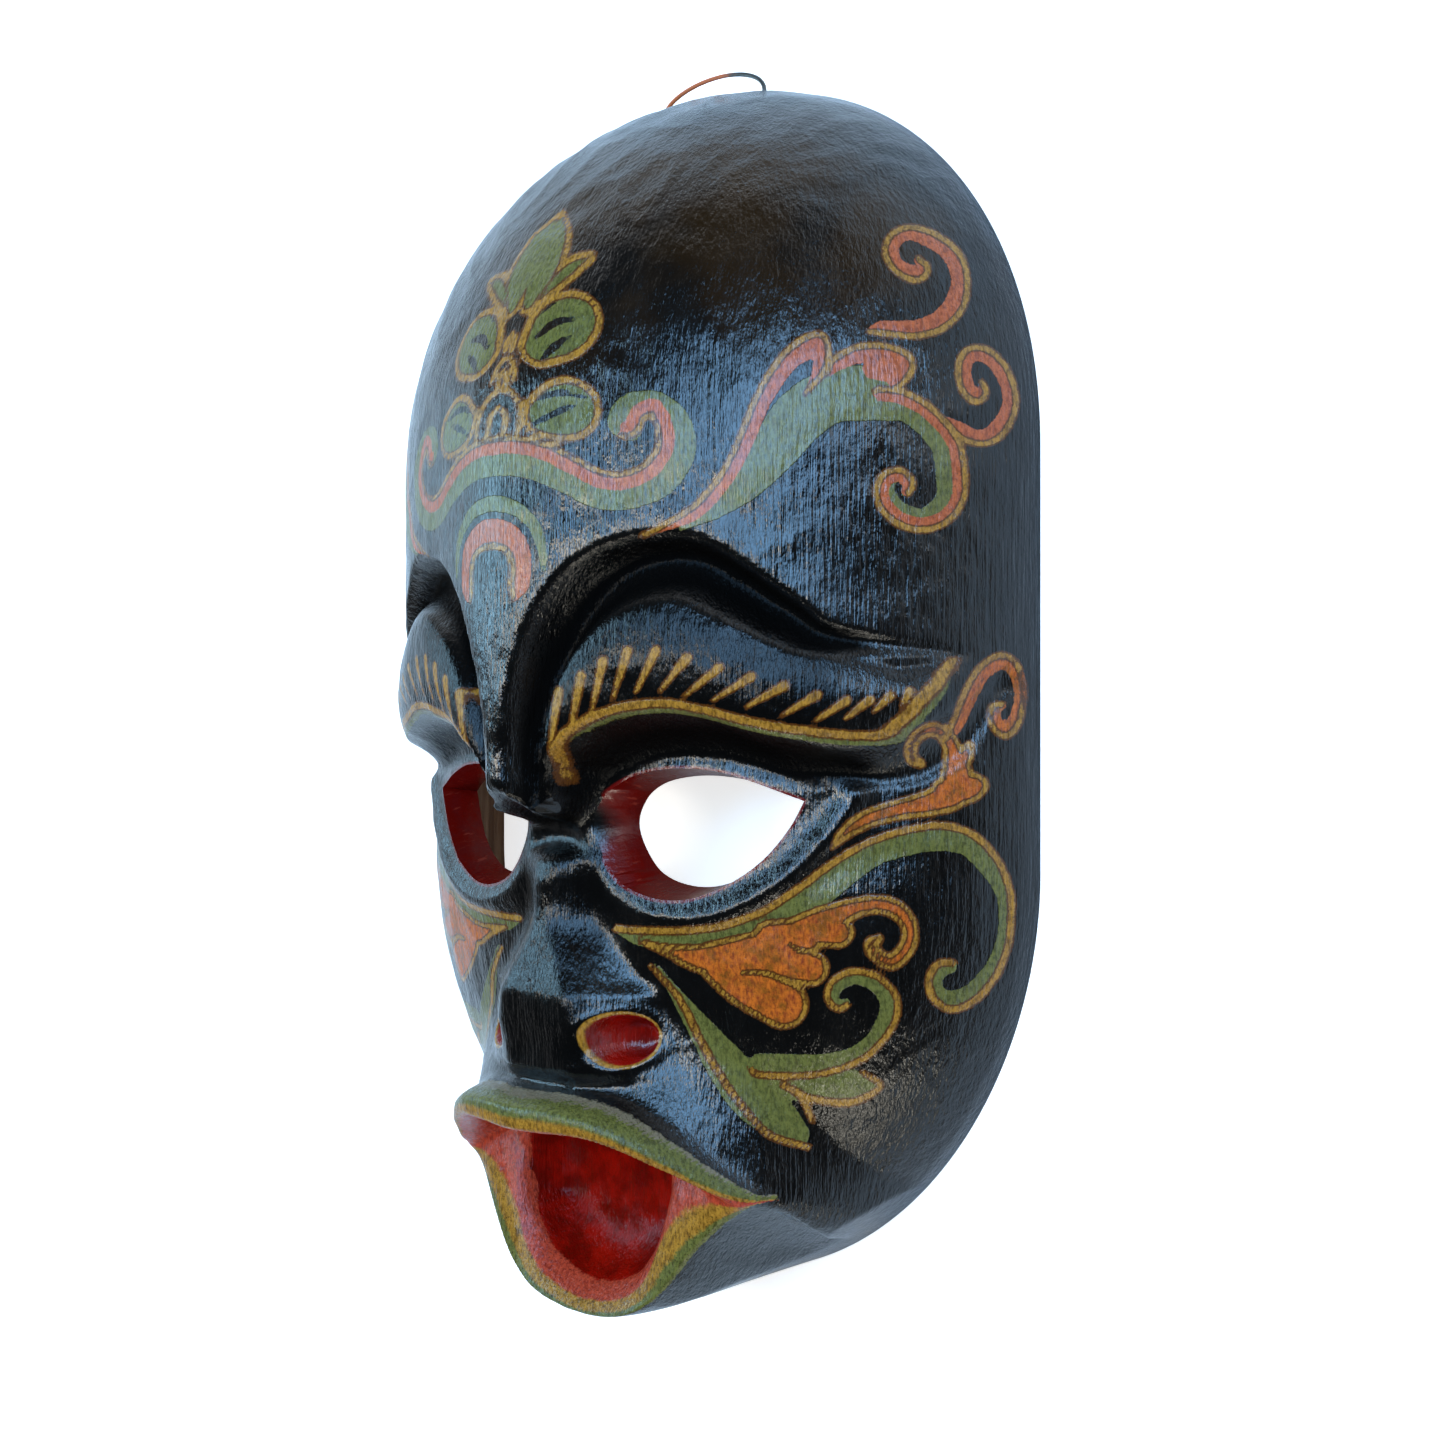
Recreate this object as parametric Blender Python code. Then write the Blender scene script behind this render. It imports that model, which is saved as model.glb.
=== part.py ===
"""Carved wooden face mask with a bent hanging wire.

The mask lies on its flat back rim, face up. +X runs across the face to the viewer's right, +Y runs from
the chin to the crown and +Z points out of the face. The origin is under the middle of the whole object.

The carving is laid out in face units on a face that is FACE_HEIGHT tall, FACE_WIDTH wide and FACE_DEPTH
deep, and is mirrored about x = 0. The real sizes below stretch those units to metres.
"""
import math

import bmesh
import bpy
import numpy as np
from mathutils import Vector

# Driving sizes in metres
HEIGHT = 0.2435
WIDTH = 0.161
DEPTH = 0.0583
RIM_WALL = 0.009
FACE_WALL = 0.008
FOREHEAD_EXTRA_WALL = 0.004
WIRE_DIAMETER = 0.0009
WIRE_SPAN = 0.029
WIRE_MIDDLE = 0.0012
WIRE_RISE = 0.0042
WIRE_LEG = 0.006
WIRE_ABOVE_BACK = 0.004
CLEARANCE = 0.0003

# The face's own units
FACE_HEIGHT = 243.5
FACE_WIDTH = 161.0
FACE_DEPTH = 58.3
HALF = FACE_WIDTH / 2
CROWN_START = 50.0
CROWN_ROUND = 2.1
CHIN = -113.5
CROWN = CHIN + FACE_HEIGHT
JAW_START = -28.0
JAW_ROUND = 1.9
FOREHEAD_DEPTH = 58.3
CHEEK_DEPTH = 45.0
GLABELLA_RISE = 4.4
GLABELLA_HALF = 20.0
LIP_OVERHANG = 2.6
LIP_LEVEL = 14.0
LIP_FRONT = 41.5
SIDE_ROUND = 1.8
GRID_CENTRE = 8.0

# Mesh fineness
FRONT_COLUMNS = 170
FRONT_ROWS = 250
HOLLOW_COLUMNS = 26
HOLLOW_ROWS = 38
KEPT_TRIANGLES = 8900
SMOOTHING_PASSES = 4
WIRE_SIDES = 8
WIRE_STEPS = 22

# Curves of the carving: x and y, or x and y and half width, in face units
BROW_FOOT = ((0, -12), (8, -15), (10, -8.4), (15, -3.5), (25, 0.5), (37, 1.7), (53, -2.2), (66, -4.1),
             (71, -1.8), (76, 4.3), (78.5, 12))
SOCKET_TOP = ((0, -22), (8, -19), (14, -13), (20, -9.5), (30, -7.5), (40, -8.5), (54, -12.6), (63, -11.7),
              (71, -10), (76, -4), (78.5, 4))
BROW_CHANNEL = ((6, -15, 3), (6.2, -6, 3), (8.2, 4, 3.6), (11.6, 12, 4.4), (17.5, 20.3, 5.2), (25, 25.6, 5.6),
                (33, 27.8, 5.3), (41.5, 26.6, 5), (54, 18.3, 3.9), (60, 14.6, 2.8), (74, 12.7, 1))
BROW_CUSHION = ((8.6, -13, 1.2), (11.5, -4, 4), (17, 5.5, 7.5), (25, 10.6, 10.2), (35, 12.2, 10.5),
                (53, 6.6, 8.4), (67, 3.6, 6.6), (73, 6, 4.4), (77.5, 12, 1))
EYE_OUTLINE = ((57, -13), (53, -19.5), (47, -25.8), (39, -30.6), (30, -33.2), (21.5, -32.3), (15, -28.6),
               (10.5, -20.5), (12.5, -14.5), (18, -10.5), (26, -8.5), (34, -8.1), (42, -9.1), (57, -13))
EYE_STEPS = 4
EYE_LEVEL = 43.0
EYE_TAPER = 0.018

# Heights along the nose and lips: place, height
NOSE_RIDGE = ((-67, 50.5), (-52, 52.9), (-46, 51.8), (-40, 50.8), (-25, 49.2), (-18, 46))
NOSE_HALF_FLAT = ((-67, 9.6), (-52, 9.2), (-44, 5.4), (-40, 3.1), (-25, 2.9), (-18, 2.9))
NOSE_FLANK = ((-67, 0.86), (-52, 0.95), (-40, 0.85), (-25, 0.7), (-18, 0.6))
UPPER_LIP_TOP = ((0, -71), (12, -71), (20, -72.4), (30, -78), (35, -82.3), (41.5, -87.6))
UPPER_LIP_FOOT = ((0, -77.6), (20, -78.4), (30, -83), (37, -87.2), (41.5, -88.2))
UPPER_LIP_HEIGHT = ((0, 58.5), (10, 57.5), (20, 54), (30, 47), (36, 41), (41.5, 35))
LOWER_LIP_EDGE = ((0, -113.2), (8, -112.2), (16.4, -109.3), (24, -104.3), (30, -98), (34.8, -93),
                  (41.5, -88.2))
LOWER_LIP_HEIGHT = ((0, 41.5), (16.4, 41), (24, 40), (30, 38.2), (34.8, 36.2), (41.5, 34))
MOUTH_FOOT = ((0, -108), (8, -106.5), (15, -102.5), (18.5, -97.5), (20.5, -91), (41.5, -88.5))
GLABELLA_SHARE = ((-20, 1), (40, 1), (65, 0.62), (85, 0.3), (110, 0), (130, 0))
MOUTH_CORNER = 41.5
MOUTH_HALF = 20.5
NOSTRIL = (17.6, -59.6)
NOSTRIL_RADII = (5.4, 4.6)
NOSE_TOP = -25.5
NOSE_FOOT = -66.5
WING_HEIGHT = 52.4
WING_TOP = -51.0
WING_FOOT = -66.0
WING_INNER = 9.4
WING_OUTER = 24.0
MUZZLE_HEIGHT = 53.0
MUZZLE_MIDDLE = -90.0
MUZZLE_HALF_WIDTH = 55.0
MUZZLE_HALF_HEIGHT = 60.0
MUZZLE_FOOT = -84.0
MOUTH_HEIGHT = 36.2
MOUTH_RECESS = 9.0
OVERHANG_TOP = -98.0


def ease(share):
    """Smooth step from 0 to 1."""
    share = np.clip(share, 0, 1)
    return share * share * (3 - 2 * share)


def upper_of(first, second, soften):
    """The higher of two heights, with a rounded join."""
    share = np.clip(0.5 + 0.5 * (first - second) / soften, 0, 1)
    return second + (first - second) * share + soften * share * (1 - share)


def along(points, place):
    """Smooth curve through (place, value) pairs."""
    places, values = np.array(points, float).T
    slopes = np.gradient(values, places)
    place = np.clip(place, places[0], places[-1])
    span = np.clip(np.searchsorted(places, place, side="right") - 1, 0, len(places) - 2)
    length = places[span + 1] - places[span]
    t = (place - places[span]) / length
    start = (2 * t**3 - 3 * t**2 + 1) * values[span] + (t**3 - 2 * t**2 + t) * length * slopes[span]
    end = (3 * t**2 - 2 * t**3) * values[span + 1] + (t**3 - t**2) * length * slopes[span + 1]
    return start + end


def rounded(points, steps=6):
    """Points of a smooth curve through the given ones."""
    given = np.array(points, float)
    ends = np.vstack([2 * given[0] - given[1], given, 2 * given[-1] - given[-2]])
    t = (np.arange(steps) / steps)[:, None]
    curve = []
    for a, b, c, d in zip(ends, ends[1:], ends[2:], ends[3:]):
        bend = (2 * a - 5 * b + 4 * c - d) * t**2 + (3 * b - a - 3 * c + d) * t**3
        curve.append(0.5 * (2 * b + (c - a) * t + bend))
    return np.vstack(curve + [given[-1:]])


def beside(points, x, y):
    """Side distance as a share of the half width there, half width and share of length along a curve."""
    curve = rounded(points)
    steps = np.diff(curve[:, :2], axis=0)
    lengths = np.hypot(*steps.T)
    run = np.concatenate([[0], np.cumsum(lengths)]) / lengths.sum()
    nearest = np.full(np.shape(x), np.inf)
    side = np.zeros(np.shape(x))
    half = np.ones(np.shape(x))
    share = np.zeros(np.shape(x))
    for i, ((sx, sy), length) in enumerate(zip(steps, lengths)):
        px, py, start_half = curve[i]
        t = np.clip(((x - px) * sx + (y - py) * sy) / length**2, 0, 1)
        dx, dy = x - px - t * sx, y - py - t * sy
        distance = np.hypot(dx, dy)
        closer = distance < nearest
        nearest = np.where(closer, distance, nearest)
        side = np.where(closer, distance * np.sign(sx * dy - sy * dx), side)
        half = np.where(closer, start_half + t * (curve[i + 1, 2] - start_half), half)
        share = np.where(closer, run[i] + t * (run[i + 1] - run[i]), share)
    return side / half, half, share


def eye_distance(x, y):
    """Distance outside the eye's outline, negative inside."""
    outline = rounded(EYE_OUTLINE, EYE_STEPS)
    nearest = np.full(np.shape(x), np.inf)
    inside = np.zeros(np.shape(x), bool)
    for (ax, ay), (bx, by) in zip(outline, outline[1:]):
        dx, dy = bx - ax, by - ay
        t = np.clip(((x - ax) * dx + (y - ay) * dy) / (dx**2 + dy**2), 0, 1)
        nearest = np.minimum(nearest, np.hypot(x - ax - t * dx, y - ay - t * dy))
        if dy:
            inside ^= ((ay > y) != (by > y)) & (x < ax + (y - ay) / dy * dx)
    return np.where(inside, -nearest, nearest)


def reach(x, y, half=HALF, crown=CROWN, chin=CHIN):
    """0 on the middle line of the face, 1 on its outline."""
    across = np.abs(x) / half
    up = np.clip((y - CROWN_START) / (crown - CROWN_START), 0, None)
    down = np.clip((JAW_START - y) / (JAW_START - chin), 0, None)
    crowned = (across**CROWN_ROUND + up**CROWN_ROUND) ** (1 / CROWN_ROUND)
    jawed = (across**JAW_ROUND + down**JAW_ROUND) ** (1 / JAW_ROUND)
    return np.where(y >= CROWN_START, crowned, jawed)


def dome(x, y, depth, **outline):
    """Height of a plain dome over the outline."""
    share = np.clip(reach(x, y, **outline), 0, 1)
    return depth * (1 - share**2) ** (1 / SIDE_ROUND)


def outward(x, y):
    """Unit normals of the plain dome."""
    step = 0.05
    depth = 50.0
    slope_x = (dome(x + step, y, depth) - dome(x - step, y, depth)) / (2 * step)
    slope_y = (dome(x, y + step, depth) - dome(x, y - step, depth)) / (2 * step)
    side_x = reach(x + step, y) - reach(x - step, y)
    side_y = reach(x, y + step) - reach(x, y - step)
    inner = np.stack([-slope_x, -slope_y, np.ones_like(slope_x)], -1)
    rim = np.stack([side_x, side_y, np.zeros_like(side_x)], -1)
    normal = np.where((reach(x, y) > 0.985)[..., None], rim, inner)
    return normal / np.maximum(np.linalg.norm(normal, axis=-1, keepdims=True), 1e-9)


def forehead_step(x, y):
    """Depth of the dome, deep above the brows and less below them, and the groove along that step."""
    foot = along(BROW_FOOT, x)
    socket = along(SOCKET_TOP, x)
    share = np.clip((foot - y) / (foot - socket), 0, 1)
    depth = CHEEK_DEPTH + (FOREHEAD_DEPTH - CHEEK_DEPTH) * (1 - np.sin(np.pi / 2 * share))
    return depth, 4 * share * (1 - share)


def brow_relief(x, y):
    """Channel over the brow, the brow's cushion and the raised ring of the eye."""
    side, half, share = beside(BROW_CHANNEL, x, y)
    side = np.clip(side, -1, 1)
    upper = np.cos(np.pi / 2 * np.clip((side - 0.35) / 0.65, 0, 1) ** 1.6)
    lower = np.cos(np.pi / 2 * np.clip((0.35 - side) / 1.35, 0, 1)) ** 1.1
    cut = np.where(side > 0.35, upper, lower) * (np.abs(side) < 1)
    relief = -6.0 * cut * (0.25 + 0.75 * ease((1 - share) / 0.25)) * ease((y + 19) / 5)
    relief *= np.clip(half / 4.5, 0, 1)
    side, half, _ = beside(BROW_CUSHION, x, y)
    relief += 1.6 * np.clip(1 - side**2, 0, None) ** 0.8 * ease(half / 6)
    _, groove = forehead_step(x, y)
    relief -= 1.3 * groove * ease((x - 6) / 6)
    eye = eye_distance(x, y)
    relief += 1.5 * np.exp(-(((eye - 3.2) / 2.2) ** 2)) * ease((-8.5 - y) / 4) * (eye > -1)
    return relief


def glabella(x, y):
    """Extra height of the forehead along its middle, between the brows' channels and above them."""
    side, _, _ = beside(BROW_CHANNEL, x, y)
    above = ease((side + 0.2) / 0.8) * ease((y + 19) / 5)
    return GLABELLA_RISE * above * along(GLABELLA_SHARE, y) * np.exp(-((x / GLABELLA_HALF) ** 2))


def nose(x, y):
    """Flat-ridged nose with its wings."""
    flank = x - along(NOSE_HALF_FLAT, y)
    ridge = along(NOSE_RIDGE, y) - along(NOSE_FLANK, y) * 0.5 * (flank + np.sqrt(flank**2 + 0.35))
    ridge -= 2.2 * np.clip(NOSE_FOOT - y, 0, None) + 2.0 * np.clip(y - NOSE_TOP, 0, None)
    wing = WING_HEIGHT - 0.84 * np.clip(x - WING_INNER, 0, None) - 0.15 * np.clip(WING_TOP - 1 - y, 0, None)
    wing -= 1.5 * np.clip(y - WING_TOP, 0, None) + 2.5 * np.clip(WING_FOOT - y, 0, None)
    wing -= 3.0 * np.clip(x - WING_OUTER, 0, None) ** 1.2
    return upper_of(ridge, wing, 1.0)


def muzzle(x, y):
    """Soft swelling that carries the lips."""
    share = np.hypot(x / MUZZLE_HALF_WIDTH, (y - MUZZLE_MIDDLE) / MUZZLE_HALF_HEIGHT)
    swell = MUZZLE_HEIGHT * np.clip(1 - share**2.2, 0, None) ** 0.625
    return swell - 0.06 * np.clip(MUZZLE_FOOT - y, 0, None) ** 2


def lips(x, y, cheek, plain):
    """The cheek's height changed by both lips and the closed mouth between them."""
    top = along(UPPER_LIP_TOP, x)
    foot = along(UPPER_LIP_FOOT, x)
    crest = 1 - ((y - (top + foot) / 2) / ((top - foot) / 2 + 0.5)) ** 2
    upper = upper_of(cheek, along(UPPER_LIP_HEIGHT, x) + 0.8 * np.clip(crest, 0, 1), 1.0)
    inside = ease((MOUTH_CORNER + 1 - x) / 2)
    height = np.where(y > foot - 1.5, cheek + (upper - cheek) * ease((top + 1.2 - y) / 2) * inside, cheek)

    edge = along(LOWER_LIP_EDGE, x)
    edge_height = along(LOWER_LIP_HEIGHT, x)
    mouth = along(MOUTH_FOOT, x)
    inward = np.clip((y - edge) / np.maximum(mouth - edge, 0.5), 0, 1)
    band = edge_height + (MOUTH_HEIGHT - edge_height) * inward**0.8 + 0.9 * np.sin(np.pi * inward)
    lower = np.where(y >= edge, band, edge_height - 2.4 * np.clip(edge - y, 0, None))
    lower = upper_of(plain, lower, 2.0)
    below = ease((foot + 0.3 - y) / 1.6) * ease((MOUTH_CORNER + 3.5 - x) / 5)
    height = height * (1 - below) + lower * below

    depth = np.minimum(np.minimum(y - mouth, foot - y), (MOUTH_HALF - x) * 1.2)
    return height - np.where(y < foot, MOUTH_RECESS * (1 - np.exp(-np.clip(depth, 0, None) / 3.0)), 0)


def face(x, y):
    """Points of the carved front over x and y, all in face units."""
    across = np.abs(x)
    share = reach(x, y)
    depth, _ = forehead_step(across, y)
    plain = dome(x, y, depth)
    height = upper_of(plain, nose(across, y), 1.0)
    height = upper_of(height, muzzle(across, y), 8.0)
    height = lips(across, y, height, plain)
    nostril = np.hypot((across - NOSTRIL[0]) / NOSTRIL_RADII[0], (y - NOSTRIL[1]) / NOSTRIL_RADII[1])
    height += 0.9 * np.exp(-(((nostril - 1.12) / 0.16) ** 2)) - 6.5 * (1 - ease((nostril - 0.62) / 0.38))
    points = np.stack([x, y, plain], -1)
    points += outward(x, y) * (brow_relief(across, y) * ease((1 - share) / 0.03))[..., None]
    points[..., 2] += (height - plain) * ease((1 - share) / 0.004) + glabella(across, y)
    lip = ease((OVERHANG_TOP - y) / 12) * ease((MOUTH_CORNER + 4.5 - across) / 16)
    rise = np.clip((points[..., 2] - LIP_LEVEL) / (LIP_FRONT - LIP_LEVEL), 0, None)
    points[..., 1] -= LIP_OVERHANG * rise * lip
    return points


def spread(u, v, half, crown, chin):
    """Places of a square's points, u and v from -1 to 1, over the outline, closer where it is steep."""
    v = v - 0.16 * (1 - v**2)
    disc_x = u * np.sqrt(1 - v**2 / 2)
    disc_y = v * np.sqrt(1 - u**2 / 2)
    radius = np.minimum(np.hypot(disc_x, disc_y), 1)
    cos = np.where(radius > 0, disc_x / np.maximum(radius, 1e-12), 1)
    sin = np.where(radius > 0, disc_y / np.maximum(radius, 1e-12), 0)
    near, far = np.zeros_like(cos), np.full_like(cos, 2 * FACE_HEIGHT)
    for _ in range(40):
        middle = (near + far) / 2
        inside = reach(middle * cos, GRID_CENTRE + middle * sin, half, crown, chin) < 1
        near, far = np.where(inside, middle, near), np.where(inside, far, middle)
    share = 0.5 * (radius + np.sin(radius * np.pi / 2))
    return share * near * cos, GRID_CENTRE + share * near * sin


def to_metres(points):
    """Face units to metres, with the whole object's middle at the origin."""
    scale = np.array([WIDTH / FACE_WIDTH, HEIGHT / FACE_HEIGHT, DEPTH / FACE_DEPTH])
    middle = ((CHIN - LIP_OVERHANG + CROWN) * scale[1] + WIRE_RISE + WIRE_DIAMETER / 2) / 2
    return points * scale - np.array([0, middle, 0])


def front_points(u, v):
    """The carved front in metres."""
    x, y = spread(u, v, HALF, CROWN, CHIN)
    points = face(x, y)
    edge = np.maximum(np.abs(u), np.abs(v)) > 1 - 1e-6
    points[..., 2] = np.where(edge, 0, np.maximum(points[..., 2], 0.05))
    return to_metres(points)


def hollow_points(u, v):
    """The smooth hollow behind the face, one wall inside the outline."""
    half = HALF * (1 - RIM_WALL / (WIDTH / 2))
    rim = RIM_WALL * FACE_HEIGHT / HEIGHT
    outline = {"half": half, "crown": CROWN - rim, "chin": CHIN + rim}
    x, y = spread(u, v, **outline)
    wall = FACE_WALL * FACE_DEPTH / DEPTH
    extra = FOREHEAD_EXTRA_WALL * FACE_DEPTH / DEPTH
    depth = CHEEK_DEPTH - wall + (FOREHEAD_DEPTH - CHEEK_DEPTH - extra) * ease((y + 20) / 50)
    height = dome(x, y, depth, **outline)
    edge = np.maximum(np.abs(u), np.abs(v)) > 1 - 1e-6
    return to_metres(np.stack([x, y, np.where(edge, 0, height)], -1))


def sheet(mesh, columns, rows, place):
    """Add a grid to the mesh, moved by a function, and return its points."""
    made = bmesh.ops.create_grid(mesh, x_segments=columns, y_segments=rows, size=1)["verts"]
    flat = np.array([vert.co[:2] for vert in made])
    for vert, point in zip(made, place(flat[:, 0], flat[:, 1])):
        vert.co = point
    return made


def border(verts):
    """Outer edges of an open grid."""
    return list({edge for vert in verts for edge in vert.link_edges if edge.is_boundary})


def finish_object(name, mesh, material):
    """Write a bmesh to a named object of the scene."""
    data = bpy.data.meshes.new(name)
    mesh.to_mesh(data)
    mesh.free()
    thing = bpy.data.objects.new(name, data)
    bpy.context.collection.objects.link(thing)
    thing.data.materials.append(material)
    return thing


def finish_material(name, colour, roughness, metallic=0.0, coat=0.0):
    """A plain finish with the given values."""
    material = bpy.data.materials.new(name)
    material.use_nodes = True
    shader = material.node_tree.nodes["Principled BSDF"]
    shader.inputs["Base Color"].default_value = (*colour, 1)
    shader.inputs["Roughness"].default_value = roughness
    shader.inputs["Metallic"].default_value = metallic
    shader.inputs["Coat Weight"].default_value = coat
    return material


def cutter(name, mesh):
    """An object that only cuts."""
    thing = finish_object(name, mesh, finish_material(name, (0.5, 0.5, 0.5), 0.5))
    thing.hide_render = True
    thing.display_type = "WIRE"
    return thing


def eye_cutter(side):
    """Tapered plug of an eye hole, wider at the front."""
    outline = rounded(EYE_OUTLINE, EYE_STEPS // 2)[:-1]
    centre = outline.mean(axis=0)
    mesh = bmesh.new()
    rings = []
    for height in (-5.0, FOREHEAD_DEPTH + 12):
        scale = 1 + (height - EYE_LEVEL) * EYE_TAPER
        places = centre + (outline - centre) * scale
        places = np.stack([side * places[:, 0], places[:, 1], np.full(len(places), height)], -1)
        rings.append([mesh.verts.new(point) for point in to_metres(places)])
    edges = []
    for ring in rings:
        edges += [mesh.edges.new((a, b)) for a, b in zip(ring, ring[1:] + ring[:1])]
        mesh.faces.new(ring)
    bmesh.ops.bridge_loops(mesh, edges=edges)
    bmesh.ops.recalc_face_normals(mesh, faces=mesh.faces)
    return cutter("eye_plug_right" if side > 0 else "eye_plug_left", mesh)


def wire_foot(side):
    """Place where a leg of the wire enters the crown, and the top of its arc."""
    x = WIRE_MIDDLE + side * WIRE_SPAN / 2
    face_x = abs(x) * FACE_WIDTH / WIDTH
    crown = CROWN_START + (CROWN - CROWN_START) * (1 - (face_x / HALF) ** CROWN_ROUND) ** (1 / CROWN_ROUND)
    edge = to_metres(np.array([0, crown, 0.0]))[1]
    return Vector((x, edge, WIRE_ABOVE_BACK))


def wire_hole(side):
    """Blind drilled hole for one leg of the wire."""
    foot = wire_foot(side)
    depth = WIRE_LEG + CLEARANCE
    mesh = bmesh.new()
    radius = (WIRE_DIAMETER / 2 + CLEARANCE) / math.cos(math.pi / WIRE_SIDES)
    above = 0.004
    bmesh.ops.create_cone(mesh, cap_ends=True, segments=WIRE_SIDES, radius1=radius, radius2=radius,
                          depth=depth + above)
    turn = Vector((0, 0, 1)).rotation_difference(Vector((0, 1, 0))).to_matrix()
    bmesh.ops.rotate(mesh, verts=mesh.verts, matrix=turn)
    bmesh.ops.translate(mesh, verts=mesh.verts, vec=foot + Vector((0, (above - depth) / 2, 0)))
    return cutter("wire_drill_right" if side > 0 else "wire_drill_left", mesh)


def thinned(thing, triangles):
    """Fewer triangles where the carving is flat."""
    modifier = thing.modifiers.new("fewer faces", "DECIMATE")
    modifier.ratio = triangles / sum(len(face.vertices) - 2 for face in thing.data.polygons)
    evaluated = thing.evaluated_get(bpy.context.evaluated_depsgraph_get())
    data = bpy.data.meshes.new_from_object(evaluated)
    thing.modifiers.clear()
    thing.data = data
    for vert in data.vertices:
        if abs(vert.co.z) < 0.0002:
            vert.co.z = 0
    return thing


def make_mask():
    """Carved shell with its hollow back, eye holes and drilled crown."""
    mesh = bmesh.new()
    front = sheet(mesh, FRONT_COLUMNS, FRONT_ROWS, front_points)
    carved = [vert for vert in front if not vert.is_boundary]
    for _ in range(SMOOTHING_PASSES):
        bmesh.ops.smooth_vert(mesh, verts=carved, factor=0.5, use_axis_x=True, use_axis_y=True,
                              use_axis_z=True)
    hollow = sheet(mesh, HOLLOW_COLUMNS, HOLLOW_ROWS, hollow_points)
    inner = set(hollow)
    bmesh.ops.reverse_faces(mesh, faces=[f for f in mesh.faces if f.verts[0] in inner])
    bmesh.ops.bridge_loops(mesh, edges=border(front) + border(hollow))
    bmesh.ops.triangulate(mesh, faces=mesh.faces)
    bmesh.ops.recalc_face_normals(mesh, faces=mesh.faces)
    lacquer = finish_material("black_lacquered_wood", (0.012, 0.010, 0.009), 0.22, coat=0.6)
    mask = thinned(finish_object("mask", mesh, lacquer), KEPT_TRIANGLES)
    for plug in [make(side) for side in (1, -1) for make in (eye_cutter, wire_hole)]:
        modifier = mask.modifiers.new(plug.name, "BOOLEAN")
        modifier.operation = "DIFFERENCE"
        modifier.solver = "EXACT"
        modifier.object = plug
    return mask


def make_wire():
    """Bent wire: two straight legs in the crown joined by a low arc."""
    feet = [wire_foot(side) for side in (-1, 1)]
    top = to_metres(np.array([0, CROWN, 0.0]))[1] + WIRE_RISE
    route = [feet[0] - Vector((0, WIRE_LEG - CLEARANCE, 0))]
    for step in range(WIRE_STEPS + 1):
        angle = math.pi * step / WIRE_STEPS
        foot = feet[0].lerp(feet[1], (1 - math.cos(angle)) / 2)
        route.append(foot + Vector((0, (top - foot.y) * math.sin(angle), 0)))
    route.append(feet[1] - Vector((0, WIRE_LEG - CLEARANCE, 0)))
    curve = bpy.data.curves.new("hanging_wire", "CURVE")
    curve.dimensions = "3D"
    curve.bevel_depth = WIRE_DIAMETER / 2
    curve.bevel_resolution = 2
    curve.use_fill_caps = True
    line = curve.splines.new("POLY")
    line.points.add(len(route) - 1)
    for point, place in zip(line.points, route):
        point.co = (*place, 1)
    wire = bpy.data.objects.new("hanging_wire", curve)
    bpy.context.collection.objects.link(wire)
    curve.materials.append(finish_material("coated_wire", (0.25, 0.09, 0.05), 0.35, metallic=0.6))
    return wire


def main():
    for thing in list(bpy.data.objects):
        bpy.data.objects.remove(thing)
    make_mask()
    make_wire()


main()
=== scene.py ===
"""Carved and painted wooden face mask: the finished surface, its paint and a plain studio."""
import math

import bmesh
import bpy
import numpy as np
from mathutils import Matrix, Vector


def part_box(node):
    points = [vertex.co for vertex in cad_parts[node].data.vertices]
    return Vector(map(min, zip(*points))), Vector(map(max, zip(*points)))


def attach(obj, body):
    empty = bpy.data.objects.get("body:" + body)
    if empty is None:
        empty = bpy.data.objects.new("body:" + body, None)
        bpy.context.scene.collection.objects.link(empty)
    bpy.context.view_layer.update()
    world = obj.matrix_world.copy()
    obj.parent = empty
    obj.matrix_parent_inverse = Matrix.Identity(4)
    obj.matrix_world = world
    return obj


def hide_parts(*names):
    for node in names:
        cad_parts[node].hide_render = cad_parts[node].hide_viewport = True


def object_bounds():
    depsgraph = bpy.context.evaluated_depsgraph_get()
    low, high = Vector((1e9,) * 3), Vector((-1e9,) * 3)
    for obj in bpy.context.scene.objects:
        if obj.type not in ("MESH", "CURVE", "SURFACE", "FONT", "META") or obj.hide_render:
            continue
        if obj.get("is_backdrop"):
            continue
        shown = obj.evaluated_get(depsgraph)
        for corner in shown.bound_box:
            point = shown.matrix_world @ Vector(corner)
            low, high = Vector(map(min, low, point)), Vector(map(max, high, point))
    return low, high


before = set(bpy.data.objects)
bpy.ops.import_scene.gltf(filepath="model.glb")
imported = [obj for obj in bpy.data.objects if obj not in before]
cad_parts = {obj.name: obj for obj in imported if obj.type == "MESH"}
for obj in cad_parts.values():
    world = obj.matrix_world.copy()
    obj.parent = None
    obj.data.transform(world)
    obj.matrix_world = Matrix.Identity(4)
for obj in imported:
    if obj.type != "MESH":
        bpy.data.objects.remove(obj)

bl_info = {
    "name": "Carved Face Mask",
    "version": (1, 0, 0),
    "blender": (4, 5, 0),
    "location": "3D View > Sidebar > Mask",
    "description": "Carves and paints a wooden face mask and sets up its studio",
    "category": "Object",
}

# Boxes of the fixed solids, in metres
MASK_LOW, MASK_HIGH = (Vector(corner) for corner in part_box("mask"))
WIRE_LOW, WIRE_HIGH = (Vector(corner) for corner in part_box("hanging_wire"))

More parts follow.
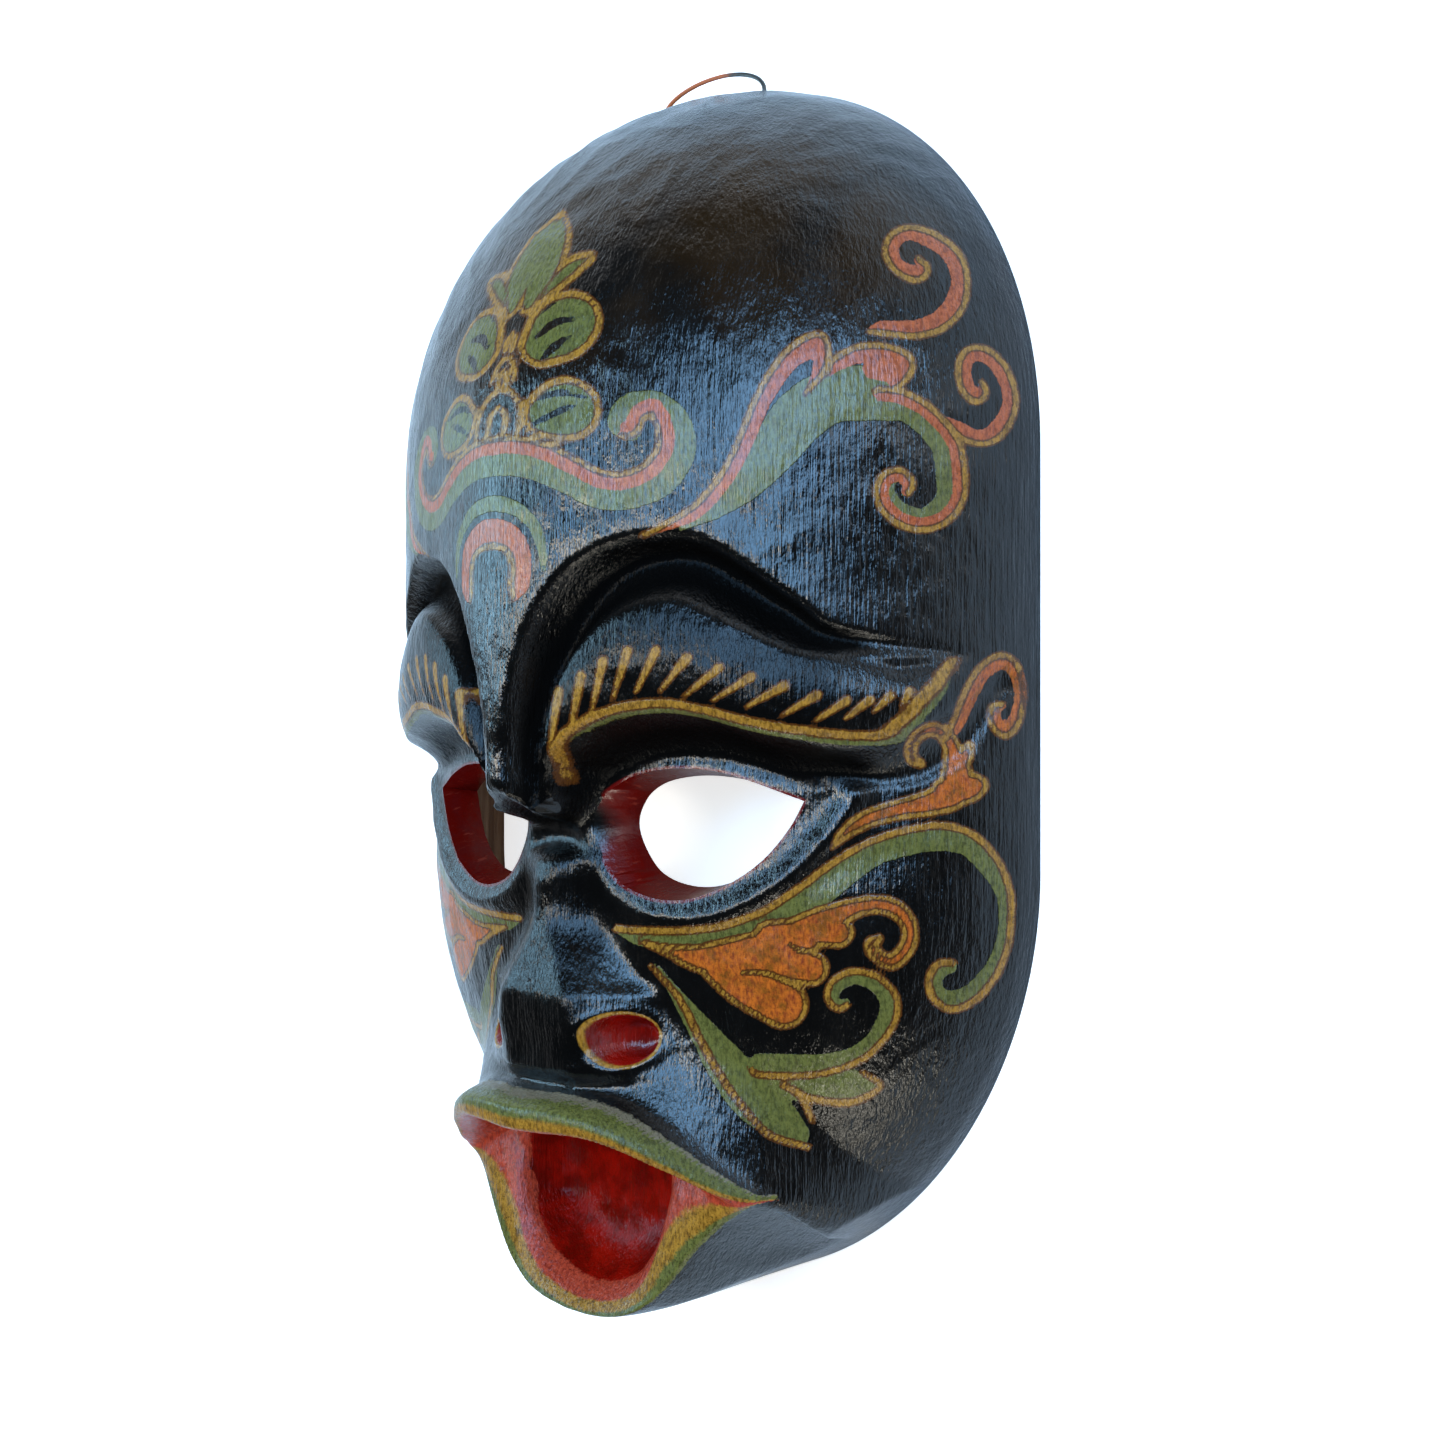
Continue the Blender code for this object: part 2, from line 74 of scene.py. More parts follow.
# Sizes of the carved face, in its own units of a millimetre
SCALE = 0.001
FACE_HEIGHT = 243.5
HALF = 80.5
RIM_WALL = 9.0
FACE_WALL = 8.0
FOREHEAD_EXTRA_WALL = 4.0
CROWN_START = 50.0
CROWN_ROUND = 2.1
CHIN = -113.5
CROWN = CHIN + FACE_HEIGHT
JAW_START = -28.0
JAW_ROUND = 1.9
FOREHEAD_DEPTH = 58.3
CHEEK_DEPTH = 45.0
GLABELLA_RISE = 4.4
GLABELLA_HALF = 20.0
LIP_OVERHANG = 2.6
LIP_LEVEL = 14.0
LIP_FRONT = 41.5
SIDE_ROUND = 1.8
GRID_CENTRE = 8.0
MIDDLE = MASK_HIGH.y / SCALE - CROWN

# Curves of the carving: x and y, or x and y and half width, in face units
BROW_FOOT = ((0, -12), (8, -15), (10, -8.4), (15, -3.5), (25, 0.5), (37, 1.7), (53, -2.2), (66, -4.1),
             (71, -1.8), (76, 4.3), (78.5, 12))
SOCKET_TOP = ((0, -22), (8, -19), (14, -13), (20, -9.5), (30, -7.5), (40, -8.5), (54, -12.6), (63, -11.7),
              (71, -10), (76, -4), (78.5, 4))
BROW_CHANNEL = ((6, -15, 3), (6.2, -6, 3), (8.2, 4, 3.6), (11.6, 12, 4.4), (17.5, 20.3, 5.2), (25, 25.6, 5.6),
                (33, 27.8, 5.3), (41.5, 26.6, 5), (54, 18.3, 3.9), (60, 14.6, 2.8), (74, 12.7, 1))
BROW_CUSHION = ((8.6, -13, 1.2), (11.5, -4, 4), (17, 5.5, 7.5), (25, 10.6, 10.2), (35, 12.2, 10.5),
                (53, 6.6, 8.4), (67, 3.6, 6.6), (73, 6, 4.4), (77.5, 12, 1))
EYE_OUTLINE = ((57, -13), (53, -19.5), (47, -25.8), (39, -30.6), (30, -33.2), (21.5, -32.3), (15, -28.6),
               (10.5, -20.5), (12.5, -14.5), (18, -10.5), (26, -8.5), (34, -8.1), (42, -9.1), (57, -13))
EYE_STEPS = 6
EYE_LEVEL = 43.0
EYE_TAPER = 0.018
NOSE_RIDGE = ((-67, 50.5), (-52, 52.9), (-46, 51.8), (-40, 50.8), (-25, 49.2), (-18, 46))
NOSE_HALF_FLAT = ((-67, 9.6), (-52, 9.2), (-44, 5.4), (-40, 3.1), (-25, 2.9), (-18, 2.9))
NOSE_FLANK = ((-67, 0.86), (-52, 0.95), (-40, 0.85), (-25, 0.7), (-18, 0.6))
UPPER_LIP_TOP = ((0, -71), (12, -71), (20, -72.4), (30, -78), (35, -82.3), (41.5, -87.6))
UPPER_LIP_FOOT = ((0, -77.6), (20, -78.4), (30, -83), (37, -87.2), (41.5, -88.2))
UPPER_LIP_HEIGHT = ((0, 58.5), (10, 57.5), (20, 54), (30, 47), (36, 41), (41.5, 35))
LOWER_LIP_EDGE = ((0, -113.2), (8, -112.2), (16.4, -109.3), (24, -104.3), (30, -98), (34.8, -93),
                  (41.5, -88.2))
LOWER_LIP_HEIGHT = ((0, 41.5), (16.4, 41), (24, 40), (30, 38.2), (34.8, 36.2), (41.5, 34))
MOUTH_FOOT = ((0, -108), (8, -106.5), (15, -102.5), (18.5, -97.5), (20.5, -91), (41.5, -88.5))
GLABELLA_SHARE = ((-20, 1), (40, 1), (65, 0.62), (85, 0.3), (110, 0), (130, 0))
MOUTH_CORNER = 41.5
MOUTH_HALF = 20.5
NOSTRIL = (17.6, -59.6)
NOSTRIL_RADII = (5.4, 4.6)
NOSE_TOP = -25.5
NOSE_FOOT = -66.5
WING_HEIGHT = 52.4
WING_TOP = -51.0
WING_FOOT = -66.0
WING_INNER = 9.4
WING_OUTER = 24.0
MUZZLE_HEIGHT = 53.0
MUZZLE_MIDDLE = -90.0
MUZZLE_HALF_WIDTH = 55.0
MUZZLE_HALF_HEIGHT = 60.0
MUZZLE_FOOT = -84.0
MOUTH_HEIGHT = 36.2
MOUTH_RECESS = 9.0
OVERHANG_TOP = -98.0

# The camera that the paint is laid out for: pixels of a 1445 frame, radians, metres
FRAME_PIXELS = 1445
FRAME_MIDDLE = 722
FOCAL_PIXELS = 1972
CAMERA_TURN = math.radians(44)
CAMERA_DISTANCE = 0.415
SENSOR_WIDTH = 36

# Where the red paint of the eye holes ends, in metres: height, and distance from the middle outside and inside
EYE_PAINT_TOP = 0.0485
EYE_PAINT_INNER = 0.0122
EYE_WALL_INNER = 0.0100

# Soft lights: direction from the mask, distance, width and height in metres, watts, colour
LIGHTS = {
    "window": ((0.40, 0.28, 0.87), 1.2, (0.52, 1.05), 19, (0.30, 0.60, 1.0)),
    "left_window": ((-0.76, 0.18, 0.62), 1.2, (0.48, 0.60), 9, (0.40, 0.74, 1.0)),
    "side_window": ((0.87, 0.28, 0.41), 1.2, (0.16, 0.40), 0.8, (0.92, 0.96, 1.0)),
    "high_lamp": ((-0.14, 0.02, 0.99), 1.2, (0.18, 0.40), 4.0, (1.0, 0.93, 0.80)),
    "low_lamp": ((0.25, -0.87, 0.43), 1.2, (0.40, 0.20), 3.0, (1.0, 0.95, 0.82)),
}
LIT_POINT = (0, 0, 0.03)
HORIZON_LIGHT = 0.85
TOP_LIGHT = 0.05
SKY_COLOUR = (0.96, 0.98, 1.0)

# Painted ribbons of the right half: colour, side and width of the gold line, pixel x, pixel y and half width along
# the ribbon, and last the colour and width of a band beside the line, where there is one
RIBBONS = {
    "crown_comma": ("red", 1, 5, (
        (868, 331, 2), (880, 328, 7), (900, 329, 8.5), (920, 328, 9.5), (940, 320, 10.5), (955, 303, 11),
        (960, 282, 9.5), (956, 262, 9.5), (944, 247, 9), (925, 236, 8.5), (908, 232, 7.5), (895, 238, 8),
        (890, 250, 8), (895, 263, 7.5), (905, 271, 8), (917, 274, 8), (924, 268, 6), (918, 260, 4))),
    "branch_curl": ("red", 1, 5, (
        (945, 420, 4), (960, 430, 8), (975, 437, 8), (990, 435, 9), (1003, 422, 9), (1010, 403, 8),
        (1007, 383, 8), (997, 364, 8), (982, 353, 8), (968, 355, 8), (963, 370, 8), (966, 386, 8),
        (975, 396, 7.5), (983, 392, 5.5), (981, 382, 3))),
    "forehead_curl": ("green", -1, 5, (
        (880, 396, 10), (898, 403, 15), (918, 413, 15), (936, 430, 15), (947, 447, 15.5), (951, 472, 16),
        (951, 495, 15), (940, 512, 14), (921, 520, 12), (900, 514, 12), (885, 498, 11), (886, 480, 9),
        (899, 474, 7), (908, 483, 7), (906, 491, 5)), "red", 10),
    "forehead_leaf_edge": ("red", -1, 5, (
        (640, 536, 1.5), (684, 517, 7), (705, 502, 8), (727, 474, 8), (742, 446, 8.5), (757, 410, 9),
        (771, 383, 9.5), (790, 358, 10.5), (810, 345, 12), (820, 340, 8), (822, 352, 9), (819, 370, 7),
        (812, 382, 4), (805, 393, 2))),
    "forehead_leaf_tip": ("red", -1, 5, (
        (828, 372, 4), (838, 362, 8), (858, 353, 9), (880, 352, 9.5), (900, 358, 10), (905, 366, 10),
        (899, 378, 8), (893, 387, 5))),
    "arch": ("green", -1, 4.5, (
        (400, 545, 4), (412, 517, 9), (428, 494, 13), (450, 475, 17), (478, 460, 19), (508, 455, 20),
        (540, 461, 20), (570, 475, 19), (600, 489, 19), (630, 489, 19), (658, 476, 20), (675, 450, 20),
        (672, 423, 18), (655, 404, 13), (635, 408, 15), (625, 420, 18)), "red", 13.5),
    "horseshoe": ("red", 1, 5, (
        (470, 540, 13), (492, 533, 15), (508, 538, 14), (517, 550, 12), (520, 566, 11), (518, 584, 10),
        (513, 598, 3))),
    "cheek_curl": ("green", -1, 6, (
        (616, 928, 3), (640, 936, 9), (680, 940, 13), (720, 938, 15), (765, 924, 16), (805, 900, 17),
        (840, 873, 16), (870, 853, 14), (905, 841, 14), (940, 836, 14), (968, 843, 13), (990, 865, 12),
        (1004, 892, 9), (1006, 920, 7.5), (1002, 948, 8), (990, 973, 9), (972, 993, 10), (953, 1001, 11),
        (938, 995, 9), (933, 981, 8), (940, 968, 8), (950, 966, 7))),
    "cheek_leaf_curl": ("green", 1, 5, (
        (760, 1065, 12), (800, 1066, 12), (835, 1062, 10), (866, 1048, 9), (886, 1022, 10), (889, 1000, 10),
        (876, 983, 9), (856, 976, 8), (838, 982, 8), (831, 996, 7), (838, 1005, 6), (845, 1003, 5))),
    "temple_stem": ("orange", -1, 5, (
        (948, 737, 5), (957, 722, 7), (970, 693, 8), (983, 671, 8), (1003, 660, 8), (1016, 673, 7),
        (1020, 695, 6), (1015, 719, 7), (1005, 731, 7), (995, 722, 7), (994, 709, 6), (1002, 705, 4))),
}

# Painted leaves of one or more joined strokes: colour, width of the gold line round them, strokes
LEAVES = {
    "forehead_leaf": ("green", 0, (
        ((680, 527, 3), (712, 510, 9), (745, 483, 17), (775, 447, 24), (800, 415, 27), (830, 396, 27),
         (865, 393, 27), (895, 402, 18)),)),
    "forehead_leaf_fill": ("red", 0, (
        ((872, 368, 10), (890, 370, 12), (896, 378, 9)),)),
    "arch_head": ("green", 0, (
        ((650, 400, 10), (632, 405, 13), (625, 420, 17), (632, 432, 8)),)),
    "horseshoe_arc": ("green", 0, (
        ((470, 508, 7), (492, 503, 8), (515, 508, 7), (533, 524, 6), (541, 545, 5), (543, 565, 3), (541, 580, 1)),)),
    "crown_bud": ("green", 5, (
        ((562, 212, 3), (557, 232, 14), (548, 256, 18), (536, 282, 16), (526, 306, 9)),
        ((538, 300, 6), (556, 280, 10), (574, 265, 10), (588, 257, 6), (594, 253, 2)))),
    "upper_disc": ("green", 6, (
        ((540, 345, 22), (560, 328, 33), (572, 320, 30)),)),
    "lower_disc": ("green", 6, (
        ((545, 414, 24), (562, 409, 32), (570, 409, 31)),)),
    "cheek_leaf": ("orange", 4, (
        ((638, 941, 1), (668, 950, 6), (700, 958, 14), (745, 958, 24), (780, 952, 26), (812, 928, 18),
         (845, 911, 11), (872, 904, 9), (896, 909, 9), (909, 926, 8), (907, 946, 8), (892, 961, 8),
         (877, 955, 7), (870, 944, 6), (878, 938, 4)),
        ((770, 938, 18), (810, 932, 15), (838, 932, 15)),
        ((770, 958, 18), (795, 965, 18), (811, 968, 17)),
        ((715, 968, 14), (745, 982, 24), (780, 1002, 24), (784, 1004, 23)))),
    "cheek_green_leaf": ("green", 0, (
        ((655, 965, 2), (680, 1000, 7), (705, 1035, 14), (730, 1070, 21), (755, 1100, 23), (780, 1120, 19),
         (798, 1134, 11)),
        ((750, 1078, 18), (790, 1082, 17), (830, 1083, 18), (858, 1085, 13), (871, 1086, 7)))),
    "temple_leaf": ("orange", 4, (
        ((831, 848, 1), (843, 834, 6), (866, 819, 9), (898, 809, 10), (930, 802, 13), (952, 792, 17),
         (958, 778, 15), (955, 763, 13), (952, 748, 9), (945, 736, 8), (933, 729, 7), (919, 734, 6),
         (911, 745, 6), (912, 758, 6), (921, 763, 4)),
        ((945, 792, 15), (968, 787, 15), (980, 784, 8)),
        ((952, 775, 12), (963, 757, 9), (969, 746, 5)))),
}

# The gold and green ribbon along the brow's lower edge, in face units
BROW_RIBBON = ("green", -1, 6, (
    (9.9, -11.5, 0.2), (11.6, -6.6, 0.4), (16, -1.9, 0.9), (25, 1.6, 1.15), (37, 2.8, 1.2), (53, -1.1, 1.2),
    (66, -2.9, 1.2), (70, -0.8, 1.2), (73.6, 4.5, 1.1), (75, 11, 0.5)))

# Single strokes of gold, and of the black ground over green
GOLD_LINES = {
    "column_low_outer": ((497, 389, 2.5), (512, 393, 3), (519, 408, 3), (517, 432, 2.5)),
    "column_low_inner": ((497, 407, 2.5), (505, 415, 3), (503, 430, 2.5)),
    "column_middle_outer": ((503, 356, 2.5), (512, 362, 3), (514, 378, 2.5)),
    "column_middle_inner": ((500, 368, 2.5), (506, 374, 3), (505, 386, 2.5)),
    "column_top": ((508, 328, 2.5), (513, 337, 3), (511, 350, 2.5)),
    "cheek_leaf_fold": ((742, 972, 1.5), (765, 973, 2), (785, 981, 2), (797, 987, 1)),
    "cheek_leaf_nick": ((788, 944, 1), (800, 950, 2), (815, 949, 1)),
    "green_leaf_edge": ((650, 965, 1.5), (680, 1000, 2.5), (700, 1040, 3), (720, 1075, 3), (745, 1110, 3),
                        (770, 1135, 3), (808, 1147, 2.5)),
    "green_leaf_tip": ((812, 1120, 2.5), (800, 1095, 3), (783, 1085, 2.5)),
    "green_lobe_edge": ((783, 1085, 2.5), (810, 1098, 3), (850, 1102, 3), (880, 1086, 2.5), (862, 1072, 2)),
}
GROUND_LINES = {
    "upper_disc_first": ((540, 313, 1), (555, 300, 2.5)),
    "upper_disc_second": ((535, 338, 2), (555, 322, 4), (578, 318, 1.5)),
    "upper_disc_third": ((540, 360, 2), (555, 345, 4), (570, 335, 1.5)),
    "lower_disc_first": ((530, 400, 2), (560, 392, 3.5), (585, 397, 1.5)),
    "lower_disc_second": ((530, 425, 2), (560, 410, 3.5), (575, 405, 1.5)),
}
# Keys of the strokes on the brow: number of the stroke, tail x, tail y, head x, head y
BROW_TICKS = ((0, 547, 763, 558, 691), (3, 610, 706, 627, 650), (7, 705, 704, 751, 676),
              (10, 809, 724, 846, 700), (13, 900, 708, 909, 691))
TICK_COUNT = 14
TICK_TAIL = 1.2
TICK_HEAD = 4.4
TICK_LIFT = 0.16
TICK_LIMIT = 20.0
FAR_FROM_PAINT = -30.0
PIXELS_PER_UNIT = 4.75
DAUB_RADIUS = 2.4

# Places across the lips where one tone passes into the next, up from the lower lip's edge; the last tone, edge, is a
# painted highlight along the upper lip's top
LIP_TONES = ((0.13, 0.20, "gold"), (0.44, 0.54, "lip"), (1.10, 1.20, "gold"), (1.42, 1.56, "green"),
             (1.95, 1.985, "edge"))

# How dull the lacquer is in places, from 0 to 0.5, and where that ends in face units
CHANNEL_SHEEN_END = 68.0
CUSHION_DULLNESS = 0.31
NOSE_DULLNESS = 0.26
NOSE_DULL_HALF = 14.0
LIP_DULLNESS = 0.28
MOUTH_DULLNESS = 0.40
GROOVE_DULLNESS = 0.5

# Depths of the relief that shows in the lacquer, in metres
STREAK_DEPTH = 0.00026
RIPPLE_DEPTH = 0.00042
PAINT_DEPTH = 0.00006

# Carved mesh: height over which the facets fade in, sharpest soft edge and how far the drills pass the crown
FACET_FADE = 0.008
SHARP_ANGLE = math.radians(50)
DRILL_PAST = 0.004


def ease(share):
    """Smooth step from 0 to 1."""
    share = np.clip(share, 0, 1)
    return share * share * (3 - 2 * share)


def upper_of(first, second, soften):
    """The higher of two heights, with a rounded join."""
    share = np.clip(0.5 + 0.5 * (first - second) / soften, 0, 1)
    return second + (first - second) * share + soften * share * (1 - share)


def along(points, place):
    """Smooth curve through (place, value) pairs."""
    places, values = np.array(points, float).T
    slopes = np.gradient(values, places)
    place = np.clip(place, places[0], places[-1])
    span = np.clip(np.searchsorted(places, place, side="right") - 1, 0, len(places) - 2)
    length = places[span + 1] - places[span]
    t = (place - places[span]) / length
    start = (2 * t**3 - 3 * t**2 + 1) * values[span] + (t**3 - 2 * t**2 + t) * length * slopes[span]
    end = (3 * t**2 - 2 * t**3) * values[span + 1] + (t**3 - t**2) * length * slopes[span + 1]
    return start + end


def rounded(points, steps=6):
    """Points of a smooth curve through the given ones."""
    given = np.array(points, float)
    ends = np.vstack([2 * given[0] - given[1], given, 2 * given[-1] - given[-2]])
    t = (np.arange(steps) / steps)[:, None]
    curve = []
    for a, b, c, d in zip(ends, ends[1:], ends[2:], ends[3:]):
        bend = (2 * a - 5 * b + 4 * c - d) * t**2 + (3 * b - a - 3 * c + d) * t**3
        curve.append(0.5 * (2 * b + (c - a) * t + bend))
    return np.vstack(curve + [given[-1:]])


def beside(points, x, y):
    """Side distance as a share of the half width there, half width and share of length along a curve."""
    curve = rounded(points)
    steps = np.diff(curve[:, :2], axis=0)
    lengths = np.hypot(*steps.T)
    run = np.concatenate([[0], np.cumsum(lengths)]) / lengths.sum()
    nearest = np.full(np.shape(x), np.inf)
    side = np.zeros(np.shape(x))
    half = np.ones(np.shape(x))
    share = np.zeros(np.shape(x))
    for i, ((sx, sy), length) in enumerate(zip(steps, lengths)):
        px, py, start_half = curve[i]
        t = np.clip(((x - px) * sx + (y - py) * sy) / length**2, 0, 1)
        dx, dy = x - px - t * sx, y - py - t * sy
        distance = np.hypot(dx, dy)
        closer = distance < nearest
        nearest = np.where(closer, distance, nearest)
        side = np.where(closer, distance * np.sign(sx * dy - sy * dx), side)
        half = np.where(closer, start_half + t * (curve[i + 1, 2] - start_half), half)
        share = np.where(closer, run[i] + t * (run[i + 1] - run[i]), share)
    return side / half, half, share


def outside_distance(outline, x, y):
    """Distance outside a closed outline, negative inside."""
    nearest = np.full(np.shape(x), np.inf)
    inside = np.zeros(np.shape(x), bool)
    for (ax, ay), (bx, by) in zip(outline, outline[1:]):
        dx, dy = bx - ax, by - ay
        t = np.clip(((x - ax) * dx + (y - ay) * dy) / (dx**2 + dy**2), 0, 1)
        nearest = np.minimum(nearest, np.hypot(x - ax - t * dx, y - ay - t * dy))
        if dy:
            inside ^= ((ay > y) != (by > y)) & (x < ax + (y - ay) / dy * dx)
    return np.where(inside, -nearest, nearest)


def reach(x, y, half=HALF, crown=CROWN, chin=CHIN):
    """0 on the middle line of the face, 1 on its outline."""
    across = np.abs(x) / half
    up = np.clip((y - CROWN_START) / (crown - CROWN_START), 0, None)
    down = np.clip((JAW_START - y) / (JAW_START - chin), 0, None)
    crowned = (across**CROWN_ROUND + up**CROWN_ROUND) ** (1 / CROWN_ROUND)
    jawed = (across**JAW_ROUND + down**JAW_ROUND) ** (1 / JAW_ROUND)
    return np.where(y >= CROWN_START, crowned, jawed)


def dome(x, y, depth, **outline):
    """Height of a plain dome over the outline."""
    share = np.clip(reach(x, y, **outline), 0, 1)
    return depth * (1 - share**2) ** (1 / SIDE_ROUND)


def outward(x, y):
    """Unit normals of the plain dome."""
    step = 0.05
    depth = 50.0
    slope_x = (dome(x + step, y, depth) - dome(x - step, y, depth)) / (2 * step)
    slope_y = (dome(x, y + step, depth) - dome(x, y - step, depth)) / (2 * step)
    side_x = reach(x + step, y) - reach(x - step, y)
    side_y = reach(x, y + step) - reach(x, y - step)
    inner = np.stack([-slope_x, -slope_y, np.ones_like(slope_x)], -1)
    rim = np.stack([side_x, side_y, np.zeros_like(side_x)], -1)
    normal = np.where((reach(x, y) > 0.985)[..., None], rim, inner)
    return normal / np.maximum(np.linalg.norm(normal, axis=-1, keepdims=True), 1e-9)


def forehead_step(x, y):
    """Depth of the dome, deep above the brows and less below them, and the groove along that step."""
    foot = along(BROW_FOOT, x)
    socket = along(SOCKET_TOP, x)
    share = np.clip((foot - y) / (foot - socket), 0, 1)
    depth = CHEEK_DEPTH + (FOREHEAD_DEPTH - CHEEK_DEPTH) * (1 - np.sin(np.pi / 2 * share))
    return depth, 4 * share * (1 - share)


def brow_relief(x, y):
    """Channel over the brow, the brow's cushion and the raised ring of the eye."""
    side, half, share = beside(BROW_CHANNEL, x, y)
    side = np.clip(side, -1, 1)
    upper = np.cos(np.pi / 2 * np.clip((side - 0.35) / 0.65, 0, 1) ** 1.6)
    lower = np.cos(np.pi / 2 * np.clip((0.35 - side) / 1.35, 0, 1)) ** 1.1
    cut = np.where(side > 0.35, upper, lower) * (np.abs(side) < 1)
    relief = -6.0 * cut * (0.25 + 0.75 * ease((1 - share) / 0.25)) * ease((y + 19) / 5)
    relief *= np.clip(half / 4.5, 0, 1)
    side, half, _ = beside(BROW_CUSHION, x, y)
    relief += 1.6 * np.clip(1 - side**2, 0, None) ** 0.8 * ease(half / 6)
    _, groove = forehead_step(x, y)
    relief -= 1.3 * groove * ease((x - 6) / 6)
    eye = outside_distance(rounded(EYE_OUTLINE, 4), x, y)
    relief += 1.5 * np.exp(-(((eye - 3.2) / 2.2) ** 2)) * ease((-8.5 - y) / 4) * (eye > -1)
    return relief


def glabella(x, y):
    """Extra height of the forehead along its middle, between the brows' channels and above them."""
    side, _, _ = beside(BROW_CHANNEL, x, y)
    above = ease((side + 0.2) / 0.8) * ease((y + 19) / 5)
    return GLABELLA_RISE * above * along(GLABELLA_SHARE, y) * np.exp(-((x / GLABELLA_HALF) ** 2))


def nose(x, y):
    """Flat-ridged nose with its wings."""
    flank = x - along(NOSE_HALF_FLAT, y)
    ridge = along(NOSE_RIDGE, y) - along(NOSE_FLANK, y) * 0.5 * (flank + np.sqrt(flank**2 + 0.35))
    ridge -= 2.2 * np.clip(NOSE_FOOT - y, 0, None) + 2.0 * np.clip(y - NOSE_TOP, 0, None)
    wing = WING_HEIGHT - 0.84 * np.clip(x - WING_INNER, 0, None) - 0.15 * np.clip(WING_TOP - 1 - y, 0, None)
    wing -= 1.5 * np.clip(y - WING_TOP, 0, None) + 2.5 * np.clip(WING_FOOT - y, 0, None)
    wing -= 3.0 * np.clip(x - WING_OUTER, 0, None) ** 1.2
    return upper_of(ridge, wing, 1.0)


def muzzle(x, y):
    """Soft swelling that carries the lips."""
    share = np.hypot(x / MUZZLE_HALF_WIDTH, (y - MUZZLE_MIDDLE) / MUZZLE_HALF_HEIGHT)
    swell = MUZZLE_HEIGHT * np.clip(1 - share**2.2, 0, None) ** 0.625
    return swell - 0.06 * np.clip(MUZZLE_FOOT - y, 0, None) ** 2


def lips(x, y, cheek, plain):
    """The cheek's height changed by both lips and the closed mouth between them."""
    top = along(UPPER_LIP_TOP, x)
    foot = along(UPPER_LIP_FOOT, x)
    crest = 1 - ((y - (top + foot) / 2) / ((top - foot) / 2 + 0.5)) ** 2
    upper = upper_of(cheek, along(UPPER_LIP_HEIGHT, x) + 0.8 * np.clip(crest, 0, 1), 1.0)
    inside = ease((MOUTH_CORNER + 1 - x) / 2)
    height = np.where(y > foot - 1.5, cheek + (upper - cheek) * ease((top + 1.2 - y) / 2) * inside, cheek)

    edge = along(LOWER_LIP_EDGE, x)
    edge_height = along(LOWER_LIP_HEIGHT, x)
    mouth = along(MOUTH_FOOT, x)
    inward = np.clip((y - edge) / np.maximum(mouth - edge, 0.5), 0, 1)
    band = edge_height + (MOUTH_HEIGHT - edge_height) * inward**0.8 + 0.9 * np.sin(np.pi * inward)
    lower = np.where(y >= edge, band, edge_height - 2.4 * np.clip(edge - y, 0, None))
    lower = upper_of(plain, lower, 2.0)
    below = ease((foot + 0.3 - y) / 1.6) * ease((MOUTH_CORNER + 3.5 - x) / 5)
    height = height * (1 - below) + lower * below

    depth = np.minimum(np.minimum(y - mouth, foot - y), (MOUTH_HALF - x) * 1.2)
    return height - np.where(y < foot, MOUTH_RECESS * (1 - np.exp(-np.clip(depth, 0, None) / 3.0)), 0)


def face(x, y):
    """Points of the carved front over x and y, all in face units."""
    across = np.abs(x)
    share = reach(x, y)
    depth, _ = forehead_step(across, y)
    plain = dome(x, y, depth)
    height = upper_of(plain, nose(across, y), 1.0)
    height = upper_of(height, muzzle(across, y), 8.0)
    height = lips(across, y, height, plain)
    nostril = np.hypot((across - NOSTRIL[0]) / NOSTRIL_RADII[0], (y - NOSTRIL[1]) / NOSTRIL_RADII[1])
    height += 0.9 * np.exp(-(((nostril - 1.12) / 0.16) ** 2)) - 6.5 * (1 - ease((nostril - 0.62) / 0.38))
    points = np.stack([x, y, plain], -1)
    points += outward(x, y) * (brow_relief(across, y) * ease((1 - share) / 0.03))[..., None]
    points[..., 2] += (height - plain) * ease((1 - share) / 0.004) + glabella(across, y)
    lip = ease((OVERHANG_TOP - y) / 12) * ease((MOUTH_CORNER + 4.5 - across) / 16)
    rise = np.clip((points[..., 2] - LIP_LEVEL) / (LIP_FRONT - LIP_LEVEL), 0, None)
    points[..., 1] -= LIP_OVERHANG * rise * lip
    return points


def spread(u, v, half, crown, chin):
    """Places of a square's points, u and v from -1 to 1, over the outline, closer where it is steep."""
    v = v - 0.16 * (1 - v**2)
    disc_x = u * np.sqrt(1 - v**2 / 2)
    disc_y = v * np.sqrt(1 - u**2 / 2)
    radius = np.minimum(np.hypot(disc_x, disc_y), 1)
    cos = np.where(radius > 0, disc_x / np.maximum(radius, 1e-12), 1)
    sin = np.where(radius > 0, disc_y / np.maximum(radius, 1e-12), 0)
    near, far = np.zeros_like(cos), np.full_like(cos, 2 * FACE_HEIGHT)
    for _ in range(40):
        middle = (near + far) / 2
        inside = reach(middle * cos, GRID_CENTRE + middle * sin, half, crown, chin) < 1
        near, far = np.where(inside, middle, near), np.where(inside, far, middle)
    share = 0.5 * (radius + np.sin(radius * np.pi / 2))
    return share * near * cos, GRID_CENTRE + share * near * sin


def to_metres(points):
    """Face units to metres in the frame of the solids."""
    return (points + np.array([0, MIDDLE, 0])) * SCALE


def front_points(u, v):
    """The carved front in metres."""
    x, y = spread(u, v, HALF, CROWN, CHIN)
    points = face(x, y)
    edge = np.maximum(np.abs(u), np.abs(v)) > 1 - 1e-6
    points[..., 2] = np.where(edge, 0, np.maximum(points[..., 2], 0.05))
    return to_metres(points)


